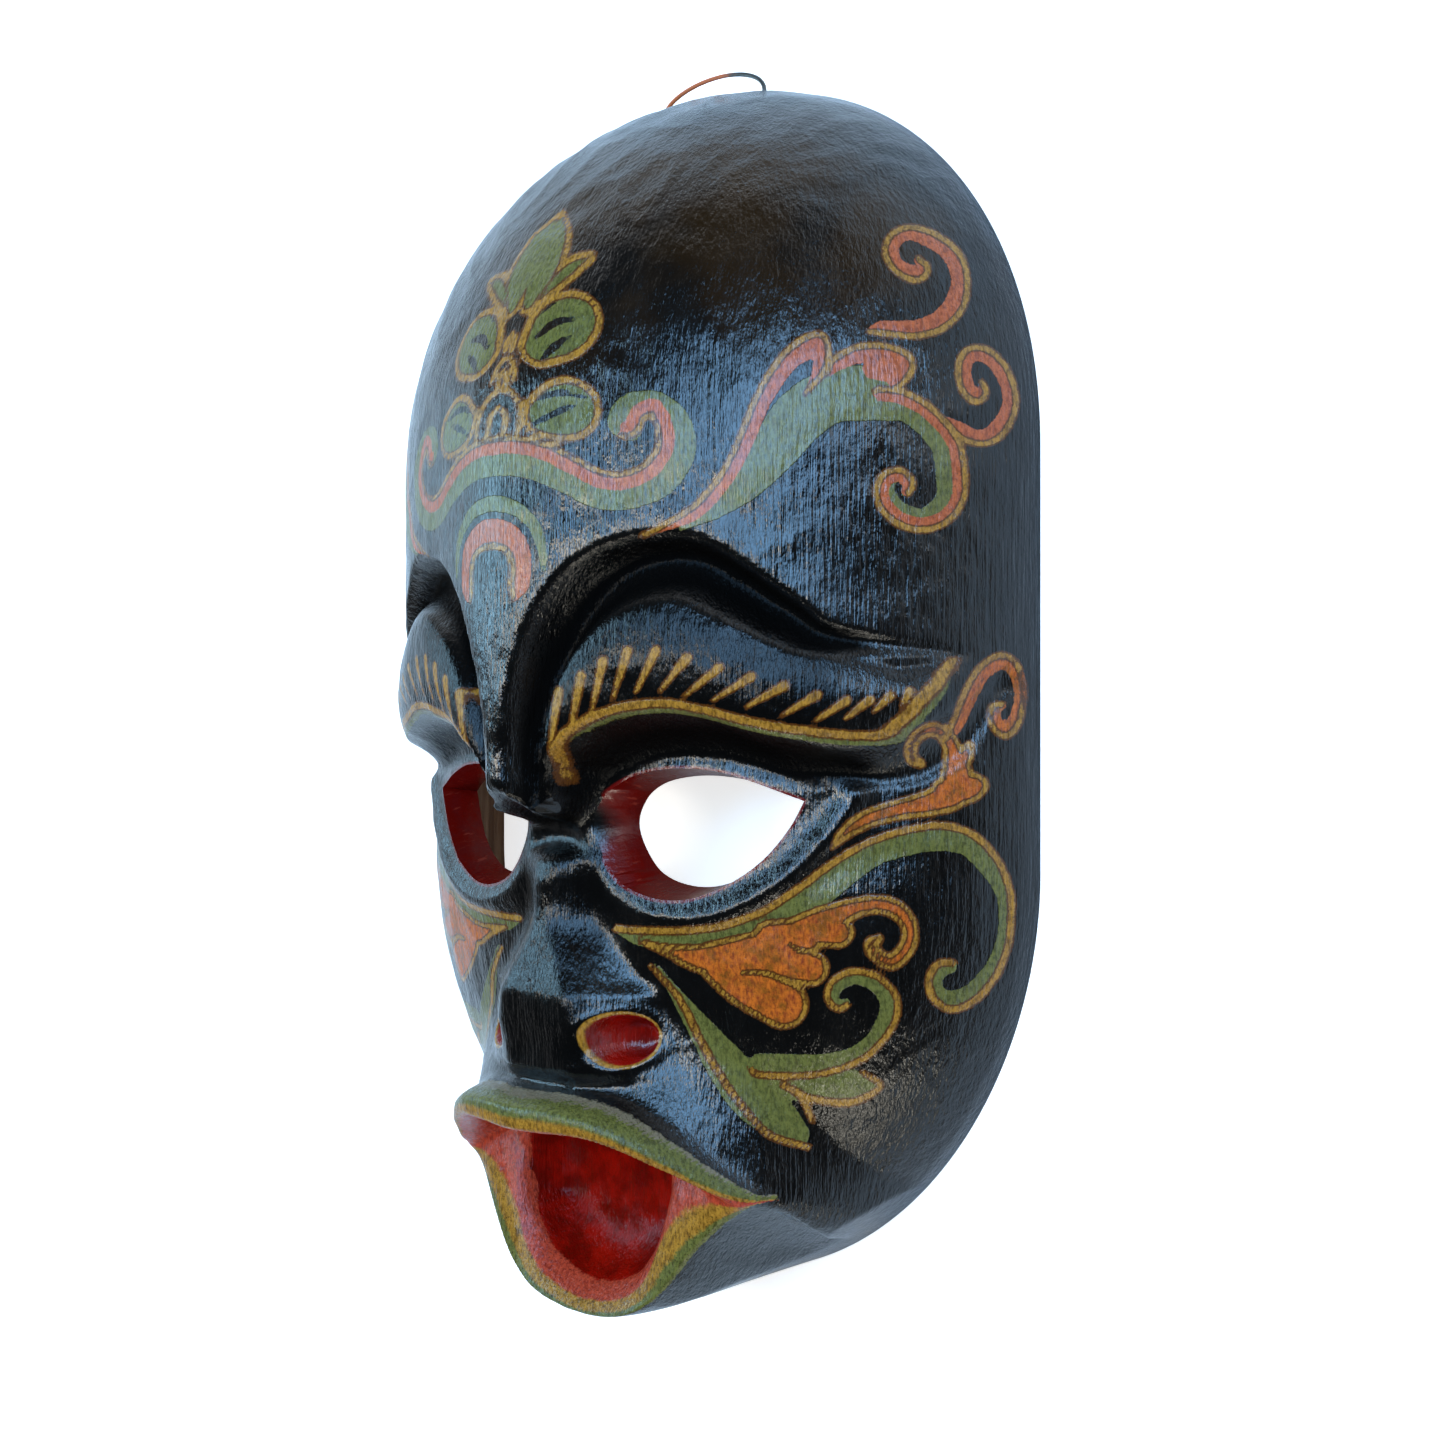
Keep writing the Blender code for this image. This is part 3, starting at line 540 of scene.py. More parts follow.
def hollow_points(u, v):
    """The smooth hollow behind the face, one wall inside the outline."""
    outline = {"half": HALF - RIM_WALL, "crown": CROWN - RIM_WALL, "chin": CHIN + RIM_WALL}
    x, y = spread(u, v, **outline)
    rise = (FOREHEAD_DEPTH - CHEEK_DEPTH - FOREHEAD_EXTRA_WALL) * ease((y + 20) / 50)
    height = dome(x, y, CHEEK_DEPTH - FACE_WALL + rise, **outline)
    edge = np.maximum(np.abs(u), np.abs(v)) > 1 - 1e-6
    return to_metres(np.stack([x, y, np.where(edge, 0, height)], -1))


def sheet(mesh, columns, rows, place, slot):
    """Add a grid to the mesh, moved by a function, with one material slot."""
    made = bmesh.ops.create_grid(mesh, x_segments=columns, y_segments=rows, size=1)["verts"]
    flat = np.array([vert.co[:2] for vert in made])
    for vert, point in zip(made, place(flat[:, 0], flat[:, 1])):
        vert.co = point
    for part in {part for vert in made for part in vert.link_faces}:
        part.material_index = slot
    return made


def border(verts):
    """Outer edges of an open grid."""
    return list({edge for vert in verts for edge in vert.link_edges if edge.is_boundary})


def camera_axes():
    """Right, up and forward of the camera that the paint is laid out for."""
    turn_cos, turn_sin = math.cos(CAMERA_TURN), math.sin(CAMERA_TURN)
    return Vector((turn_cos, 0, -turn_sin)), Vector((0, 1, 0)), Vector((-turn_sin, 0, -turn_cos))


def camera_place():
    """Where that camera stands, level with the layout's zero line."""
    _, _, forward = camera_axes()
    return Vector((0, MIDDLE * SCALE, 0)) - forward * CAMERA_DISTANCE


def pixels(points):
    """Pixels of points in metres, both halves folded onto the right one."""
    folded = points * 1.0
    folded[:, 0] = np.abs(folded[:, 0])
    right, up, forward = (np.array(axis) for axis in camera_axes())
    seen = folded - np.array(camera_place())
    distance = seen @ forward
    return (FRAME_MIDDLE + FOCAL_PIXELS * (seen @ right) / distance,
            FRAME_MIDDLE - FOCAL_PIXELS * (seen @ up) / distance)


def stroke(route, px, py):
    """How far each pixel lies inside a stroke of changing width, and beside its middle, right of travel."""
    curve = rounded(route)
    inside = np.full(px.shape, FAR_FROM_PAINT)
    across = np.zeros(px.shape)
    margin = curve[:, 2].max() - FAR_FROM_PAINT / 2
    near = (px > curve[:, 0].min() - margin) & (px < curve[:, 0].max() + margin)
    near &= (py > curve[:, 1].min() - margin) & (py < curve[:, 1].max() + margin)
    x, y, best, beside_it = px[near], py[near], inside[near], across[near]
    for (ax, ay, start), (bx, by, end) in zip(curve, curve[1:]):
        dx, dy = bx - ax, by - ay
        t = np.clip(((x - ax) * dx + (y - ay) * dy) / max(dx**2 + dy**2, 1e-9), 0, 1)
        off_x, off_y = x - ax - t * dx, y - ay - t * dy
        value = start + t * (end - start) - np.hypot(off_x, off_y)
        side = np.hypot(off_x, off_y) * np.sign(dx * off_y - dy * off_x)
        beside_it = np.where(value > best, side, beside_it)
        best = np.maximum(best, value)
    inside[near] = best
    across[near] = beside_it
    return inside, across


def brow_ticks():
    """Short tapered strokes along the brow."""
    keys = np.array(BROW_TICKS, float)
    ticks = []
    for index in range(TICK_COUNT):
        tail_x, tail_y, head_x, head_y = (along(keys[:, (0, column)], index) for column in (1, 2, 3, 4))
        tail_x += TICK_LIFT * (head_x - tail_x)
        tail_y += TICK_LIFT * (head_y - tail_y)
        middle = ((tail_x + head_x) / 2, (tail_y + head_y) / 2, (TICK_TAIL + TICK_HEAD) / 2)
        ticks.append(((tail_x, tail_y, TICK_TAIL), middle, (head_x, head_y, TICK_HEAD)))
    return ticks


def scroll_fields(px, py, x, y):
    """Distances inside each colour of the scrolls, by pixel and by place on the face."""
    fields = {name: np.full(px.shape, FAR_FROM_PAINT) for name in ("green", "red", "orange", "gold", "slit")}

    def paint(name, values):
        fields[name] = np.maximum(fields[name], values)

    def ribbon(places, colour, side, line, route, second="", band=0):
        inside, across = stroke(route, *places)
        paint(colour, inside)
        from_edge = np.where(across * side > 0, inside, 2 * np.abs(across) + inside)
        paint("gold", np.minimum(inside, line - from_edge))
        if second:
            paint(second, np.minimum(inside, line + band - from_edge))

    for entry in RIBBONS.values():
        ribbon((px, py), *entry)
    *kind, route = BROW_RIBBON
    ribbon((x * PIXELS_PER_UNIT, -y * PIXELS_PER_UNIT), *kind, np.array(route) * PIXELS_PER_UNIT * (1, -1, 1))
    for colour, line, strokes in LEAVES.values():
        inside = np.max([stroke(route, px, py)[0] for route in strokes], axis=0)
        paint(colour, inside)
        if line:
            paint("gold", np.minimum(inside, line - inside))
    for route in GOLD_LINES.values():
        paint("gold", stroke(route, px, py)[0])
    cushion, _, _ = beside(BROW_CUSHION, x, y)
    on_cushion = (1 - np.abs(cushion)) * TICK_LIMIT
    for route in brow_ticks():
        paint("gold", np.minimum(stroke(route, px, py)[0], on_cushion))
    for route in GROUND_LINES.values():
        paint("slit", stroke(route, px, py)[0])
    return fields


def lip_fields(x, y, z):
    """Distances inside the lips and the mouth, and places across the lips: 0 to 1 lower, 1 to 2 upper."""
    carved = y
    rise = np.clip((z - LIP_LEVEL) / (LIP_FRONT - LIP_LEVEL), 0, None)
    for _ in range(6):
        lip = ease((OVERHANG_TOP - carved) / 12) * ease((MOUTH_CORNER + 4.5 - x) / 16)
        carved = y + LIP_OVERHANG * rise * lip
    top, foot = along(UPPER_LIP_TOP, x), along(UPPER_LIP_FOOT, x)
    edge, mouth = along(LOWER_LIP_EDGE, x), along(MOUTH_FOOT, x)
    lower = np.clip((carved - edge) / np.maximum(mouth - edge, 0.5), 0, 1)
    upper = 1 + np.clip((carved - foot) / np.maximum(top - foot, 0.5), 0, 1)
    lips = np.minimum(np.minimum(top + 0.6 - carved, carved - edge), MOUTH_CORNER + 1.5 - x)
    opening = np.minimum(np.minimum(carved - mouth, foot - carved), MOUTH_HALF - x)
    return {"lip": lips * PIXELS_PER_UNIT, "mouth": opening * PIXELS_PER_UNIT,
            "lip_place": np.where(carved > foot, upper, lower)}


def paint_fields(points):
    """Distances inside each kind of paint for points in metres."""
    x, y, z = (points / SCALE).T
    x, y = np.abs(x), y - MIDDLE
    fields = scroll_fields(*pixels(points), x, y)
    fields.update(lip_fields(x, y, z))
    nostril = np.hypot((x - NOSTRIL[0]) / NOSTRIL_RADII[0], (y - NOSTRIL[1]) / NOSTRIL_RADII[1])
    fields["nostril"] = (1 - nostril) * NOSTRIL_RADII[1]
    outline = rounded(EYE_OUTLINE, EYE_STEPS)
    centre = outline[:-1].mean(axis=0)
    scale = 1 + (z - EYE_LEVEL) * EYE_TAPER
    beyond = outside_distance(outline, centre[0] + (x - centre[0]) / scale, centre[1] + (y - centre[1]) / scale)
    fields["eye"] = np.maximum(np.maximum(scale * beyond, EYE_PAINT_INNER / SCALE - x), z - EYE_PAINT_TOP / SCALE)
    channel, _, _ = beside(BROW_CHANNEL, x, y)
    cushion, _, _ = beside(BROW_CUSHION, x, y)
    _, groove = forehead_step(x, y)
    dull = np.maximum(1 - np.abs(channel), CUSHION_DULLNESS * ease((1 - np.abs(cushion)) / 0.3) * (x < 66))
    nose_bridge = ease((NOSE_DULL_HALF - x) / 3) * ease((y + 68) / 4) * ease((NOSE_TOP + 6 - y) / 4)
    dull = np.maximum(np.maximum(dull, GROOVE_DULLNESS * groove), NOSE_DULLNESS * nose_bridge)
    dull = np.maximum(dull, LIP_DULLNESS * ease(fields["lip"] / 3 + 0.5))
    dull = np.maximum(dull, MOUTH_DULLNESS * ease(fields["mouth"] / 3 + 0.5))
    fields["dull"] = dull * ease((CHANNEL_SHEEN_END - x) / 8)
    foot_x, foot_z = (WIRE_HIGH.x - WIRE_LOW.x) / 2 / SCALE, WIRE_LOW.z / SCALE
    foot_distance = np.hypot(np.hypot(x - foot_x, z - foot_z), (CROWN - 1.5 - y) / 4)
    fields["daub"] = PIXELS_PER_UNIT * (DAUB_RADIUS - foot_distance)
    return {"paint_" + name: values for name, values in fields.items()}


class Nodes:
    """Short calls that add and link the shader nodes of one material or world."""

    def __init__(self, owner, shader="Principled BSDF", space="Object"):
        owner.use_nodes = True
        self.owner = owner
        self.shader = owner.node_tree.nodes[shader]
        self.place = self.add("ShaderNodeTexCoord").outputs[space]

    def add(self, kind, **settings):
        """A node of one kind with its properties set."""
        node = self.owner.node_tree.nodes.new(kind)
        for name, value in settings.items():
            setattr(node, name, value)
        return node

    def feed(self, socket, value):
        """Link or set one input."""
        if isinstance(value, bpy.types.NodeSocket):
            self.owner.node_tree.links.new(value, socket)
        else:
            socket.default_value = (*value, 1) if socket.type == "RGBA" else value

    def finish(self, values):
        """Feed the shader's inputs by name and give back the material or world."""
        for name, value in values.items():
            self.feed(self.shader.inputs[name], value)
        return self.owner

    def math(self, operation, *values):
        """A maths node's result."""
        node = self.add("ShaderNodeMath", operation=operation)
        for socket, value in zip(node.inputs, values):
            self.feed(socket, value)
        return node.outputs[0]

    def step(self, value, start, end, low=0.0, high=1.0, kind="SMOOTHSTEP"):
        """A value mapped from start and end to low and high."""
        node = self.add("ShaderNodeMapRange", interpolation_type=kind)
        for name, given in (("Value", value), ("From Min", start), ("From Max", end), ("To Min", low),
                            ("To Max", high)):
            self.feed(node.inputs[name], given)
        return node.outputs["Result"]

    def mix(self, factor, first, second):
        """Two colours mixed."""
        node = self.add("ShaderNodeMix", data_type="RGBA")
        for index, value in ((0, factor), (6, first), (7, second)):
            self.feed(node.inputs[index], value)
        return node.outputs[2]

    def axis(self, name):
        """One axis of the place: X, Y or Z."""
        node = self.add("ShaderNodeSeparateXYZ")
        self.feed(node.inputs[0], self.place)
        return node.outputs[name]

    def noise(self, scale, detail, roughness, stretch=(1, 1, 1), distortion=0.0):
        """Noise on the place, stretched along its axes."""
        mapping = self.add("ShaderNodeMapping")
        self.feed(mapping.inputs["Vector"], self.place)
        self.feed(mapping.inputs["Scale"], stretch)
        node = self.add("ShaderNodeTexNoise")
        for name, value in (("Vector", mapping.outputs[0]), ("Scale", scale), ("Detail", detail),
                            ("Roughness", roughness), ("Distortion", distortion)):
            self.feed(node.inputs[name], value)
        return node.outputs["Fac"]

    def field(self, name):
        """A painted layer's distance, as stored on the mesh."""
        return self.add("ShaderNodeAttribute", attribute_name="paint_" + name).outputs["Fac"]

    def bump(self, height, strength, distance, under=None):
        """A bump of a given depth in metres, over another one."""
        node = self.add("ShaderNodeBump")
        for name, value in (("Height", height), ("Strength", strength), ("Distance", distance), ("Normal", under)):
            if value is not None:
                self.feed(node.inputs[name], value)
        return node.outputs[0]


def painted_lacquer(looks):
    """Glossy black lacquer over brushed wood, with hand-painted scrolls."""
    nodes = Nodes(bpy.data.materials.new("painted_lacquer"))
    streaks = nodes.noise(1500, 3, 0.6, (1, 0.05, 1))
    fine = nodes.noise(1500, 4, 0.6, (1, 0.5, 1))
    broad = nodes.noise(38, 3, 0.5)
    wobble = nodes.math("MULTIPLY_ADD", nodes.noise(420, 3, 0.6), 3.0, -1.5)
    wobble = nodes.math("MULTIPLY_ADD", nodes.noise(2200, 2, 0.5), 2.4, nodes.math("ADD", wobble, -1.2))
    specks = nodes.step(nodes.noise(3000, 3, 0.7), 0.54, 0.66)

    def layer(name, start=-0.6, end=0.5):
        """Coverage of one painted layer with a hand-painted edge."""
        return nodes.step(nodes.math("ADD", nodes.field(name), wobble), start, end)

    def mottled(bright, dark):
        """A brushed colour that changes between two tones."""
        return nodes.mix(nodes.step(fine, 0.36, 0.72), bright, dark)

    # Brown patches towards the crown: partly the lacquer's own browner tone, partly a painted brown reflection of
    # the room.
    crown = nodes.math("MULTIPLY", nodes.step(nodes.axis("Y"), 0.035, 0.085), nodes.step(broad, 0.38, 0.6))
    ground = nodes.mix(crown, looks.lacquer_colour, looks.lacquer_brown_and_reflection)
    orange = mottled(looks.orange, looks.red_dark)
    tones = {
        "green": mottled(looks.green, looks.green_dark),
        "red": mottled(looks.red, looks.red_dark),
        "orange": nodes.mix(nodes.step(nodes.noise(330, 5, 0.7), 0.45, 0.66, 0.0, 0.7), orange, looks.gold_dark),
        "gold": mottled(looks.gold, looks.gold_dark),
        "lip": mottled(looks.lip, looks.lip_dark),
        # The pale edge tone is a painted highlight along the upper lip's top.
        "edge": looks.lip_edge_highlight,
    }
    covers = {name: layer(name) for name in ("green", "red", "orange", "gold", "lip")}
    colour = ground
    for name in ("green", "red", "orange"):
        colour = nodes.mix(covers[name], colour, tones[name])
    colour = nodes.mix(layer("slit"), colour, ground)
    # Dark orange-brown band just outside the gold outlines.
    colour = nodes.mix(layer("gold", -2.6, -1.0), colour, looks.gold_fringe)
    colour = nodes.mix(covers["gold"], colour, tones["gold"])
    colour = nodes.mix(layer("daub"), colour, orange)

    place = nodes.math("MULTIPLY_ADD", wobble, 0.045, nodes.field("lip_place"))
    lip = tones["green"]
    for start, end, tone in LIP_TONES:
        lip = nodes.mix(nodes.step(place, start, end), lip, tones[tone])
    speckled = nodes.math("MULTIPLY", specks, nodes.step(place, 0.42, 0.52, 0.75, 0.25))
    colour = nodes.mix(covers["lip"], colour, nodes.mix(speckled, lip, looks.lacquer_brown_and_reflection))
    deep = nodes.mix(nodes.step(nodes.noise(150, 4, 0.6), 0.35, 0.62), looks.mouth, looks.mouth_dark)
    colour = nodes.mix(layer("mouth"), colour, deep)
    colour = nodes.mix(nodes.step(nodes.field("nostril"), -0.95, -0.65), colour, tones["gold"])
    colour = nodes.mix(nodes.step(nodes.field("nostril"), -0.35, 0.0), colour, deep)
    colour = nodes.mix(nodes.step(nodes.field("eye"), 0.7, 0.3), colour, looks.eye_wall)

    painted = covers["green"]
    for name in ("red", "orange", "gold", "lip"):
        painted = nodes.math("MAXIMUM", painted, covers[name])
    worn = nodes.math("MAXIMUM", nodes.step(streaks, 0.54, 0.74, 0.0, 0.42), nodes.math("MULTIPLY", specks, 0.55))
    rough = nodes.step(nodes.noise(160, 4, 0.6, (1, 0.3, 1)), 0.3, 0.7, 0.11, 0.22)
    relief = nodes.bump(streaks, 1.0, STREAK_DEPTH)
    relief = nodes.bump(nodes.noise(260, 4, 0.6, (1, 0.5, 1)), 1.0, RIPPLE_DEPTH, relief)
    return nodes.finish({
        "Base Color": nodes.mix(nodes.math("MULTIPLY", worn, painted), colour, looks.lacquer_brown_and_reflection),
        "Roughness": nodes.math("MULTIPLY_ADD", painted, 0.08, rough),
        "IOR": 1.5,
        "Specular IOR Level": nodes.step(nodes.field("dull"), 0.0, 0.5, 0.5, 0.03),
        "Normal": nodes.bump(painted, 0.6, PAINT_DEPTH, relief),
    })


def eye_wall_paint(looks):
    """Glossy red paint, brushed along the walls of the eye holes."""
    nodes = Nodes(bpy.data.materials.new("eye_wall_paint"))
    patches = nodes.noise(260, 5, 0.6)
    strands = nodes.noise(900, 3, 0.6, (1, 1, 0.12))
    deep = nodes.mix(nodes.step(patches, 0.35, 0.62), looks.eye_wall, looks.mouth_dark)
    deep = nodes.mix(nodes.step(strands, 0.60, 0.72), deep, looks.lip_dark)
    over = nodes.step(nodes.axis("Z"), EYE_PAINT_TOP, EYE_PAINT_TOP + 0.001)
    near = nodes.step(nodes.math("ABSOLUTE", nodes.axis("X")), EYE_WALL_INNER, EYE_PAINT_INNER, 1.0, 0.0)
    return nodes.finish({
        "Base Color": nodes.mix(nodes.math("MAXIMUM", over, near), deep, looks.lacquer_colour),
        "Roughness": 0.24,
        "Normal": nodes.bump(patches, 0.5, 0.0004, nodes.bump(strands, 0.8, 0.00012)),
    })


def bare_wood(looks):
    """Chiselled wood of the hollow back."""
    nodes = Nodes(bpy.data.materials.new("bare_wood"))
    grain = nodes.noise(700, 4, 0.6, (1, 0.05, 1), 0.3)
    broad = nodes.noise(45, 4, 0.55, (1, 0.35, 1))
    colour = nodes.mix(nodes.step(grain, 0.3, 0.7), looks.wood_light, looks.wood_dark)
    return nodes.finish({
        "Base Color": nodes.mix(nodes.step(broad, 0.45, 0.7, 0.0, 0.5), colour, looks.wood_dark),
        "Roughness": nodes.step(grain, 0.2, 0.8, 0.55, 0.8),
        "Normal": nodes.bump(broad, 0.5, 0.0012, nodes.bump(grain, 0.5, 0.0004)),
    })


def coated_wire(looks):
    """Dark wire with an orange-red coating worn through towards one end."""
    nodes = Nodes(bpy.data.materials.new("coated_wire"))
    worn = nodes.math("ADD", nodes.math("MULTIPLY", nodes.axis("X"), 120.0), nodes.noise(900, 3, 0.6))
    bare = nodes.step(worn, 0.9, 1.5)
    return nodes.finish({
        "Base Color": nodes.mix(bare, looks.wire_coating, looks.wire_metal),
        "Roughness": nodes.step(bare, 0.0, 1.0, 0.4, 0.3),
        "Metallic": nodes.step(bare, 0.0, 1.0, 0.0, 0.8),
        "Normal": nodes.bump(nodes.noise(1800, 2, 0.5), 0.3, 0.0001),
    })


def studio_floor(looks):
    """Plain pale floor that gives a little light of its own."""
    nodes = Nodes(bpy.data.materials.new("studio_floor"))
    low = tuple(0.97 * value for value in looks.floor)
    seen = nodes.add("ShaderNodeLightPath").outputs["Is Camera Ray"]
    return nodes.finish({
        "Base Color": nodes.mix(nodes.noise(3, 3, 0.5), looks.floor, low),
        "Roughness": 0.7,
        "Emission Color": (1, 1, 1),
        "Emission Strength": nodes.step(seen, 0.0, 1.0, 0.12, 0.75),
    })


def colour_property(name, about, value):
    """A colour that the user may change."""
    return bpy.props.FloatVectorProperty(name=name, description=about, subtype="COLOR", size=3, min=0, max=1,
                                         default=value)


class MaskLooks(bpy.types.PropertyGroup):
    """Colours of the mask and its studio."""

    lacquer_colour: colour_property("Lacquer", "Black lacquer of the ground", (0.0025, 0.0022, 0.002))
    # Brown lacquer under worn paint and in specks; towards the crown it also carries the painted brown reflection.
    lacquer_brown_and_reflection: colour_property("Lacquer brown", "Thinner, browner lacquer", (0.017, 0.007, 0.0015))
    green: colour_property("Green", "Scrolls' green", (0.15, 0.14, 0.03))
    green_dark: colour_property("Dark green", "Green where it is thin", (0.06, 0.058, 0.013))
    red: colour_property("Red", "Scrolls' red", (0.50, 0.105, 0.03))
    red_dark: colour_property("Dark red", "Red where it is thin", (0.25, 0.04, 0.009))
    orange: colour_property("Orange", "Leaves' orange", (0.58, 0.125, 0.012))
    gold: colour_property("Gold", "Outlines", (0.43, 0.19, 0.022))
    gold_dark: colour_property("Dark gold", "Outlines where they are thin", (0.14, 0.055, 0.006))
    # A dark orange-brown band just outside the gold outlines.
    gold_fringe: colour_property("Gold fringe", "Thin paint beside the outlines", (0.09, 0.026, 0.004))
    lip: colour_property("Lip", "Lips' pink-red", (0.50, 0.055, 0.022))
    lip_dark: colour_property("Dark lip", "Lips' red where it is thin", (0.24, 0.020, 0.010))
    # Painted highlight along the upper lip's top edge.
    lip_edge_highlight: colour_property("Lip edge", "Pale upper edge of the upper lip", (0.20, 0.15, 0.09))
    mouth: colour_property("Mouth", "Deep red of the mouth and nostrils", (0.30, 0.004, 0.001))
    mouth_dark: colour_property("Dark mouth", "Deep red in the shade", (0.15, 0.002, 0.0005))
    eye_wall: colour_property("Eye wall", "Red of the eye holes' walls", (0.13, 0.004, 0.003))
    wood_light: colour_property("Light wood", "Bare wood of the back", (0.36, 0.21, 0.11))
    wood_dark: colour_property("Dark wood", "Grain of the back", (0.17, 0.085, 0.04))
    wire_coating: colour_property("Wire coating", "Orange-red coating", (0.55, 0.12, 0.03))
    wire_metal: colour_property("Wire metal", "Bare wire", (0.12, 0.11, 0.10))
    floor: colour_property("Floor", "Pale floor", (0.86, 0.86, 0.86))


def count_property(name, about, value, least):
    """A whole number that the user may change."""
    return bpy.props.IntProperty(name=name, description=about, default=value, min=least)


def length_property(name, about, value):
    """A length in metres that the user may change."""
    return bpy.props.FloatProperty(name=name, description=about, default=value, subtype="DISTANCE", unit="LENGTH")


class MaskSizes(bpy.types.PropertyGroup):
    """Fineness of the carved surface and sizes of the relief that tools left."""

    front_columns: count_property("Front columns", "Mesh columns across the face", 240, 40)
    front_rows: count_property("Front rows", "Mesh rows from chin to crown", 350, 60)
    hollow_columns: count_property("Hollow columns", "Mesh columns across the hollow", 56, 10)
    hollow_rows: count_property("Hollow rows", "Mesh rows along the hollow", 84, 10)
    smoothing: count_property("Smoothing", "Passes that round the carved edges", 3, 0)
    facet_depth: length_property("Facet depth", "Depth of the knife's soft facets", 0.0007)
    floor_size: length_property("Floor size", "Side of the studio floor", 8.0)
    hole_clearance: length_property("Hole clearance", "Gap between wire and wood", 0.0003)


def new_object(name, mesh, *materials):
    """Write a bmesh to a named object with its materials."""
    data = bpy.data.meshes.new(name)
    mesh.to_mesh(data)
    mesh.free()
    thing = bpy.data.objects.new(name, data)
    bpy.context.scene.collection.objects.link(thing)
    for material in materials:
        data.materials.append(material)
    return thing


def eye_plug(side, materials):
    """Tapered plug of an eye hole, wider at the front; its sides carry the red paint."""
    outline = rounded(EYE_OUTLINE, EYE_STEPS)[:-1]
    centre = outline.mean(axis=0)
    mesh = bmesh.new()
    rings = []
    for height in (-5.0, FOREHEAD_DEPTH + 12):
        scale = 1 + (height - EYE_LEVEL) * EYE_TAPER
        places = centre + (outline - centre) * scale
        places = np.stack([side * places[:, 0], places[:, 1], np.full(len(places), height)], -1)
        rings.append([mesh.verts.new(point) for point in to_metres(places)])
    edges = []
    for ring in rings:
        edges += [mesh.edges.new((a, b)) for a, b in zip(ring, ring[1:] + ring[:1])]
        mesh.faces.new(ring)
    bmesh.ops.bridge_loops(mesh, edges=edges)
    bmesh.ops.recalc_face_normals(mesh, faces=mesh.faces)
    for part in mesh.faces:
        part.material_index = 1
    return new_object("eye_plug", mesh, *materials)


def wire_drill(side, clearance, materials):
    """Blind drilled hole for one leg of the wire."""
    radius = (WIRE_HIGH.z - WIRE_LOW.z) / 2
    x = WIRE_HIGH.x - radius if side > 0 else WIRE_LOW.x + radius
    middle = (WIRE_HIGH.z + WIRE_LOW.z) / 2
    low = WIRE_LOW.y - clearance
    high = MASK_HIGH.y + DRILL_PAST
    mesh = bmesh.new()
    bmesh.ops.create_cone(mesh, cap_ends=True, segments=24, radius1=radius + clearance,
                          radius2=radius + clearance, depth=high - low)
    bmesh.ops.rotate(mesh, verts=mesh.verts, matrix=Matrix.Rotation(math.radians(-90), 3, "X"))
    bmesh.ops.translate(mesh, verts=mesh.verts, vec=(x, (low + high) / 2, middle))
    for part in mesh.faces:
        part.material_index = 2
    return new_object("wire_drill", mesh, *materials)


def knife_facets(points, depth):
    """Shallow waves left by the carver's knife, as offsets along the normals."""
    x, y, z = (points / SCALE).T
    wave = np.sin(x / 7.1 + 1.7 * np.sin(y / 13.3)) * np.cos(y / 8.7 + 1.3 * np.sin(x / 11.9 + z / 9.1))
    wave += 0.6 * np.sin((x + y) / 4.9 + 2.1 * np.sin((x - y) / 9.7))
    wave += 0.5 * np.sin(x / 2.9 + 1.9 * np.sin(y / 4.3)) * np.sin(y / 3.7 + 1.3 * np.sin(z / 3.1))
    return wave * depth / 2 * (0.45 + 0.55 * ease((y - 60) / 40))


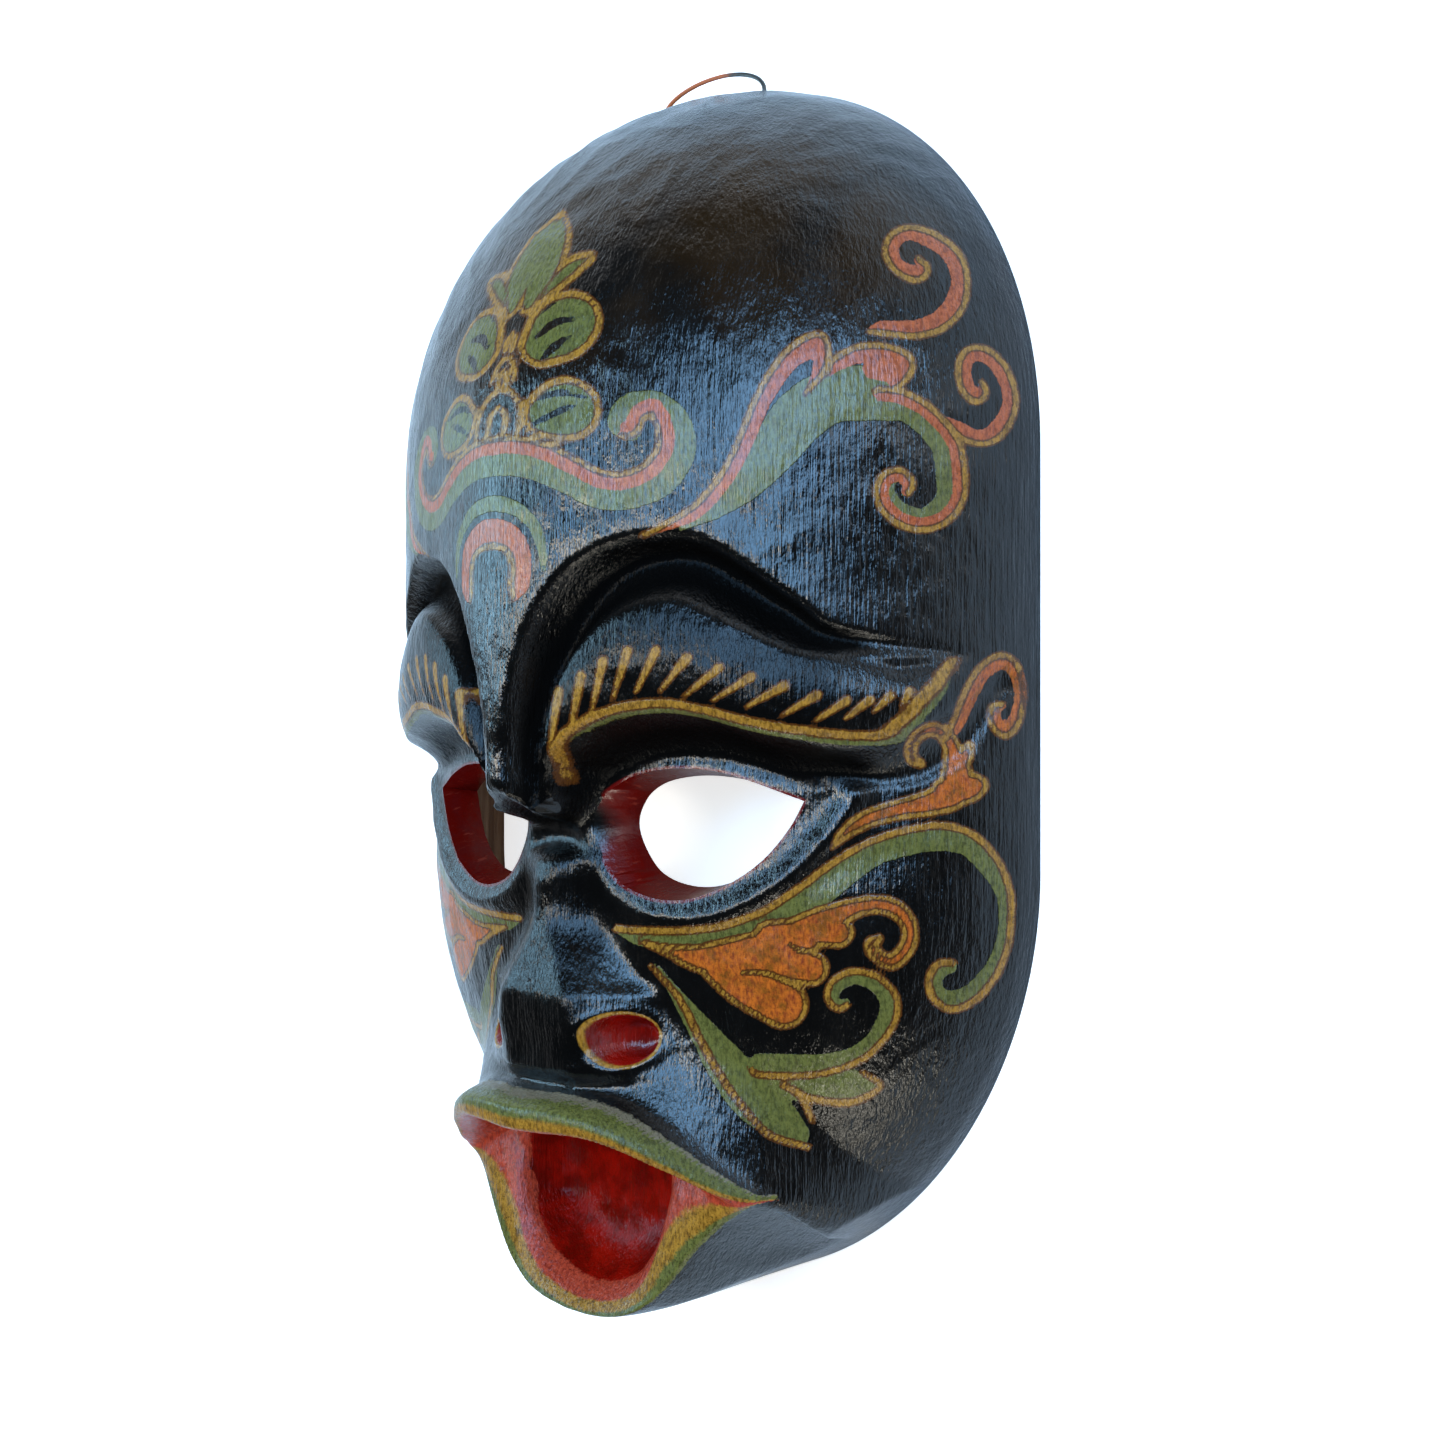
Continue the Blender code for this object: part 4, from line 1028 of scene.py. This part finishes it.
class MASK_OT_carve(bpy.types.Operator):
    """Carve the mask, bore its holes and lay out its paint"""

    bl_idname = "mask.carve"
    bl_label = "Carve and Paint Mask"

    def execute(self, context):
        sizes = context.scene.mask_sizes
        looks = context.scene.mask_looks
        materials = (painted_lacquer(looks), eye_wall_paint(looks), bare_wood(looks))
        mesh = bmesh.new()
        front = sheet(mesh, sizes.front_columns, sizes.front_rows, front_points, 0)
        carved = [vert for vert in front if not vert.is_boundary]
        for _ in range(sizes.smoothing):
            bmesh.ops.smooth_vert(mesh, verts=carved, factor=0.5, use_axis_x=True, use_axis_y=True, use_axis_z=True)
        mesh.normal_update()
        offsets = knife_facets(np.array([vert.co for vert in carved]), sizes.facet_depth)
        for vert, offset in zip(carved, offsets):
            fade = min(1.0, vert.co.z / FACET_FADE)
            vert.co -= vert.normal * (abs(offset) * fade)
        hollow = sheet(mesh, sizes.hollow_columns, sizes.hollow_rows, hollow_points, 2)
        inner = set(hollow)
        bmesh.ops.reverse_faces(mesh, faces=[part for part in mesh.faces if part.verts[0] in inner])
        rim = bmesh.ops.bridge_loops(mesh, edges=border(front) + border(hollow))["faces"]
        for part in rim:
            part.material_index = 2
        bmesh.ops.recalc_face_normals(mesh, faces=mesh.faces)
        mask = new_object("carved_mask", mesh, *materials)
        tools = [eye_plug(side, materials) for side in (1, -1)]
        tools += [wire_drill(side, sizes.hole_clearance, materials) for side in (1, -1)]
        for tool in tools:
            cut = mask.modifiers.new(tool.name, "BOOLEAN")
            cut.operation = "DIFFERENCE"
            cut.solver = "EXACT"
            cut.object = tool
        finished = bpy.data.meshes.new_from_object(mask.evaluated_get(context.evaluated_depsgraph_get()))
        mask.modifiers.clear()
        mask.data = finished
        for tool in tools:
            bpy.data.objects.remove(tool)
        places = np.empty(len(finished.vertices) * 3)
        finished.vertices.foreach_get("co", places)
        for name, values in paint_fields(places.reshape(-1, 3)).items():
            layer = finished.attributes.new(name, "FLOAT", "POINT")
            layer.data.foreach_set("value", values.astype(np.float32))
        finished.shade_smooth()
        finished.set_sharp_from_angle(angle=SHARP_ANGLE)
        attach(mask, "root")
        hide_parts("mask")
        return {"FINISHED"}


class MASK_OT_wire(bpy.types.Operator):
    """Give the hanging wire its coating"""

    bl_idname = "mask.wire"
    bl_label = "Finish Hanging Wire"

    def execute(self, context):
        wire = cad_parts["hanging_wire"]
        wire.data.materials.clear()
        wire.data.materials.append(coated_wire(context.scene.mask_looks))
        return {"FINISHED"}


def soft_light(name, place, target, size, power, colour):
    """A rectangular studio light that faces a point."""
    lamp = bpy.data.lights.new(name, "AREA")
    lamp.shape = "RECTANGLE"
    lamp.size, lamp.size_y = size
    lamp.energy = power
    lamp.color = colour
    thing = bpy.data.objects.new(name, lamp)
    thing.location = place
    thing.rotation_euler = (Vector(target) - Vector(place)).to_track_quat("-Z", "Y").to_euler()
    bpy.context.scene.collection.objects.link(thing)
    return thing


class MASK_OT_stage(bpy.types.Operator):
    """Set up the pale floor, the soft lights and the camera"""

    bl_idname = "mask.stage"
    bl_label = "Set Up Studio"

    def execute(self, context):
        sizes = context.scene.mask_sizes
        mesh = bmesh.new()
        bmesh.ops.create_grid(mesh, x_segments=1, y_segments=1, size=sizes.floor_size / 2)
        floor = new_object("floor", mesh, studio_floor(context.scene.mask_looks))
        floor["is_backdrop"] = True

        nodes = Nodes(bpy.data.worlds.new("studio"), "Background", "Generated")
        level = nodes.step(nodes.axis("Z"), 0.0, 0.5, HORIZON_LIGHT, TOP_LIGHT)
        upward = nodes.step(nodes.axis("Y"), -0.2, 0.8, 0.5, 1.5, "LINEAR")
        strength = nodes.math("MULTIPLY", level, upward)
        context.scene.world = nodes.finish({"Color": SKY_COLOUR, "Strength": strength})
        middle = Vector(LIT_POINT)
        for name, (toward, distance, size, power, colour) in LIGHTS.items():
            soft_light(name, middle + Vector(toward).normalized() * distance, middle, size, power, colour)

        right, up, forward = camera_axes()
        camera = bpy.data.cameras.new("camera")
        camera.sensor_width = SENSOR_WIDTH
        camera.lens = SENSOR_WIDTH * FOCAL_PIXELS / FRAME_PIXELS
        camera.clip_start = 0.01
        view = bpy.data.objects.new("camera", camera)
        turn = Matrix((right, up, -forward)).transposed().to_4x4()
        view.matrix_world = Matrix.Translation(camera_place()) @ turn
        context.scene.collection.objects.link(view)
        context.scene.camera = view
        context.scene.view_settings.view_transform = "Standard"
        return {"FINISHED"}


class MASK_PT_panel(bpy.types.Panel):
    """Sizes, colours and steps of the mask"""

    bl_label = "Carved Face Mask"
    bl_space_type = "VIEW_3D"
    bl_region_type = "UI"
    bl_category = "Mask"

    def draw(self, context):
        layout = self.layout
        for group in (context.scene.mask_sizes, context.scene.mask_looks):
            for name in group.__annotations__:
                layout.prop(group, name)
        for step in STEPS:
            layout.operator(step.bl_idname)


STEPS = (MASK_OT_carve, MASK_OT_wire, MASK_OT_stage)
CLASSES = (MaskLooks, MaskSizes, *STEPS, MASK_PT_panel)


def register():
    """Make the groups, steps and panel known to Blender."""
    for item in CLASSES:
        bpy.utils.register_class(item)
    bpy.types.Scene.mask_looks = bpy.props.PointerProperty(type=MaskLooks)
    bpy.types.Scene.mask_sizes = bpy.props.PointerProperty(type=MaskSizes)


def unregister():
    """Take them away again."""
    del bpy.types.Scene.mask_sizes
    del bpy.types.Scene.mask_looks
    for item in reversed(CLASSES):
        bpy.utils.unregister_class(item)


def main():
    """Run every step and measure the boxes of the solids and of the finished mask."""
    cad_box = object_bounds()
    register()
    bpy.ops.mask.carve()
    bpy.ops.mask.wire()
    bpy.ops.mask.stage()
    boxes = {"cad": cad_box, "visual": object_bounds()}
    boxes = {name: [list(corner) for corner in corners] for name, corners in boxes.items()}


if __name__ == "__main__":
    main()
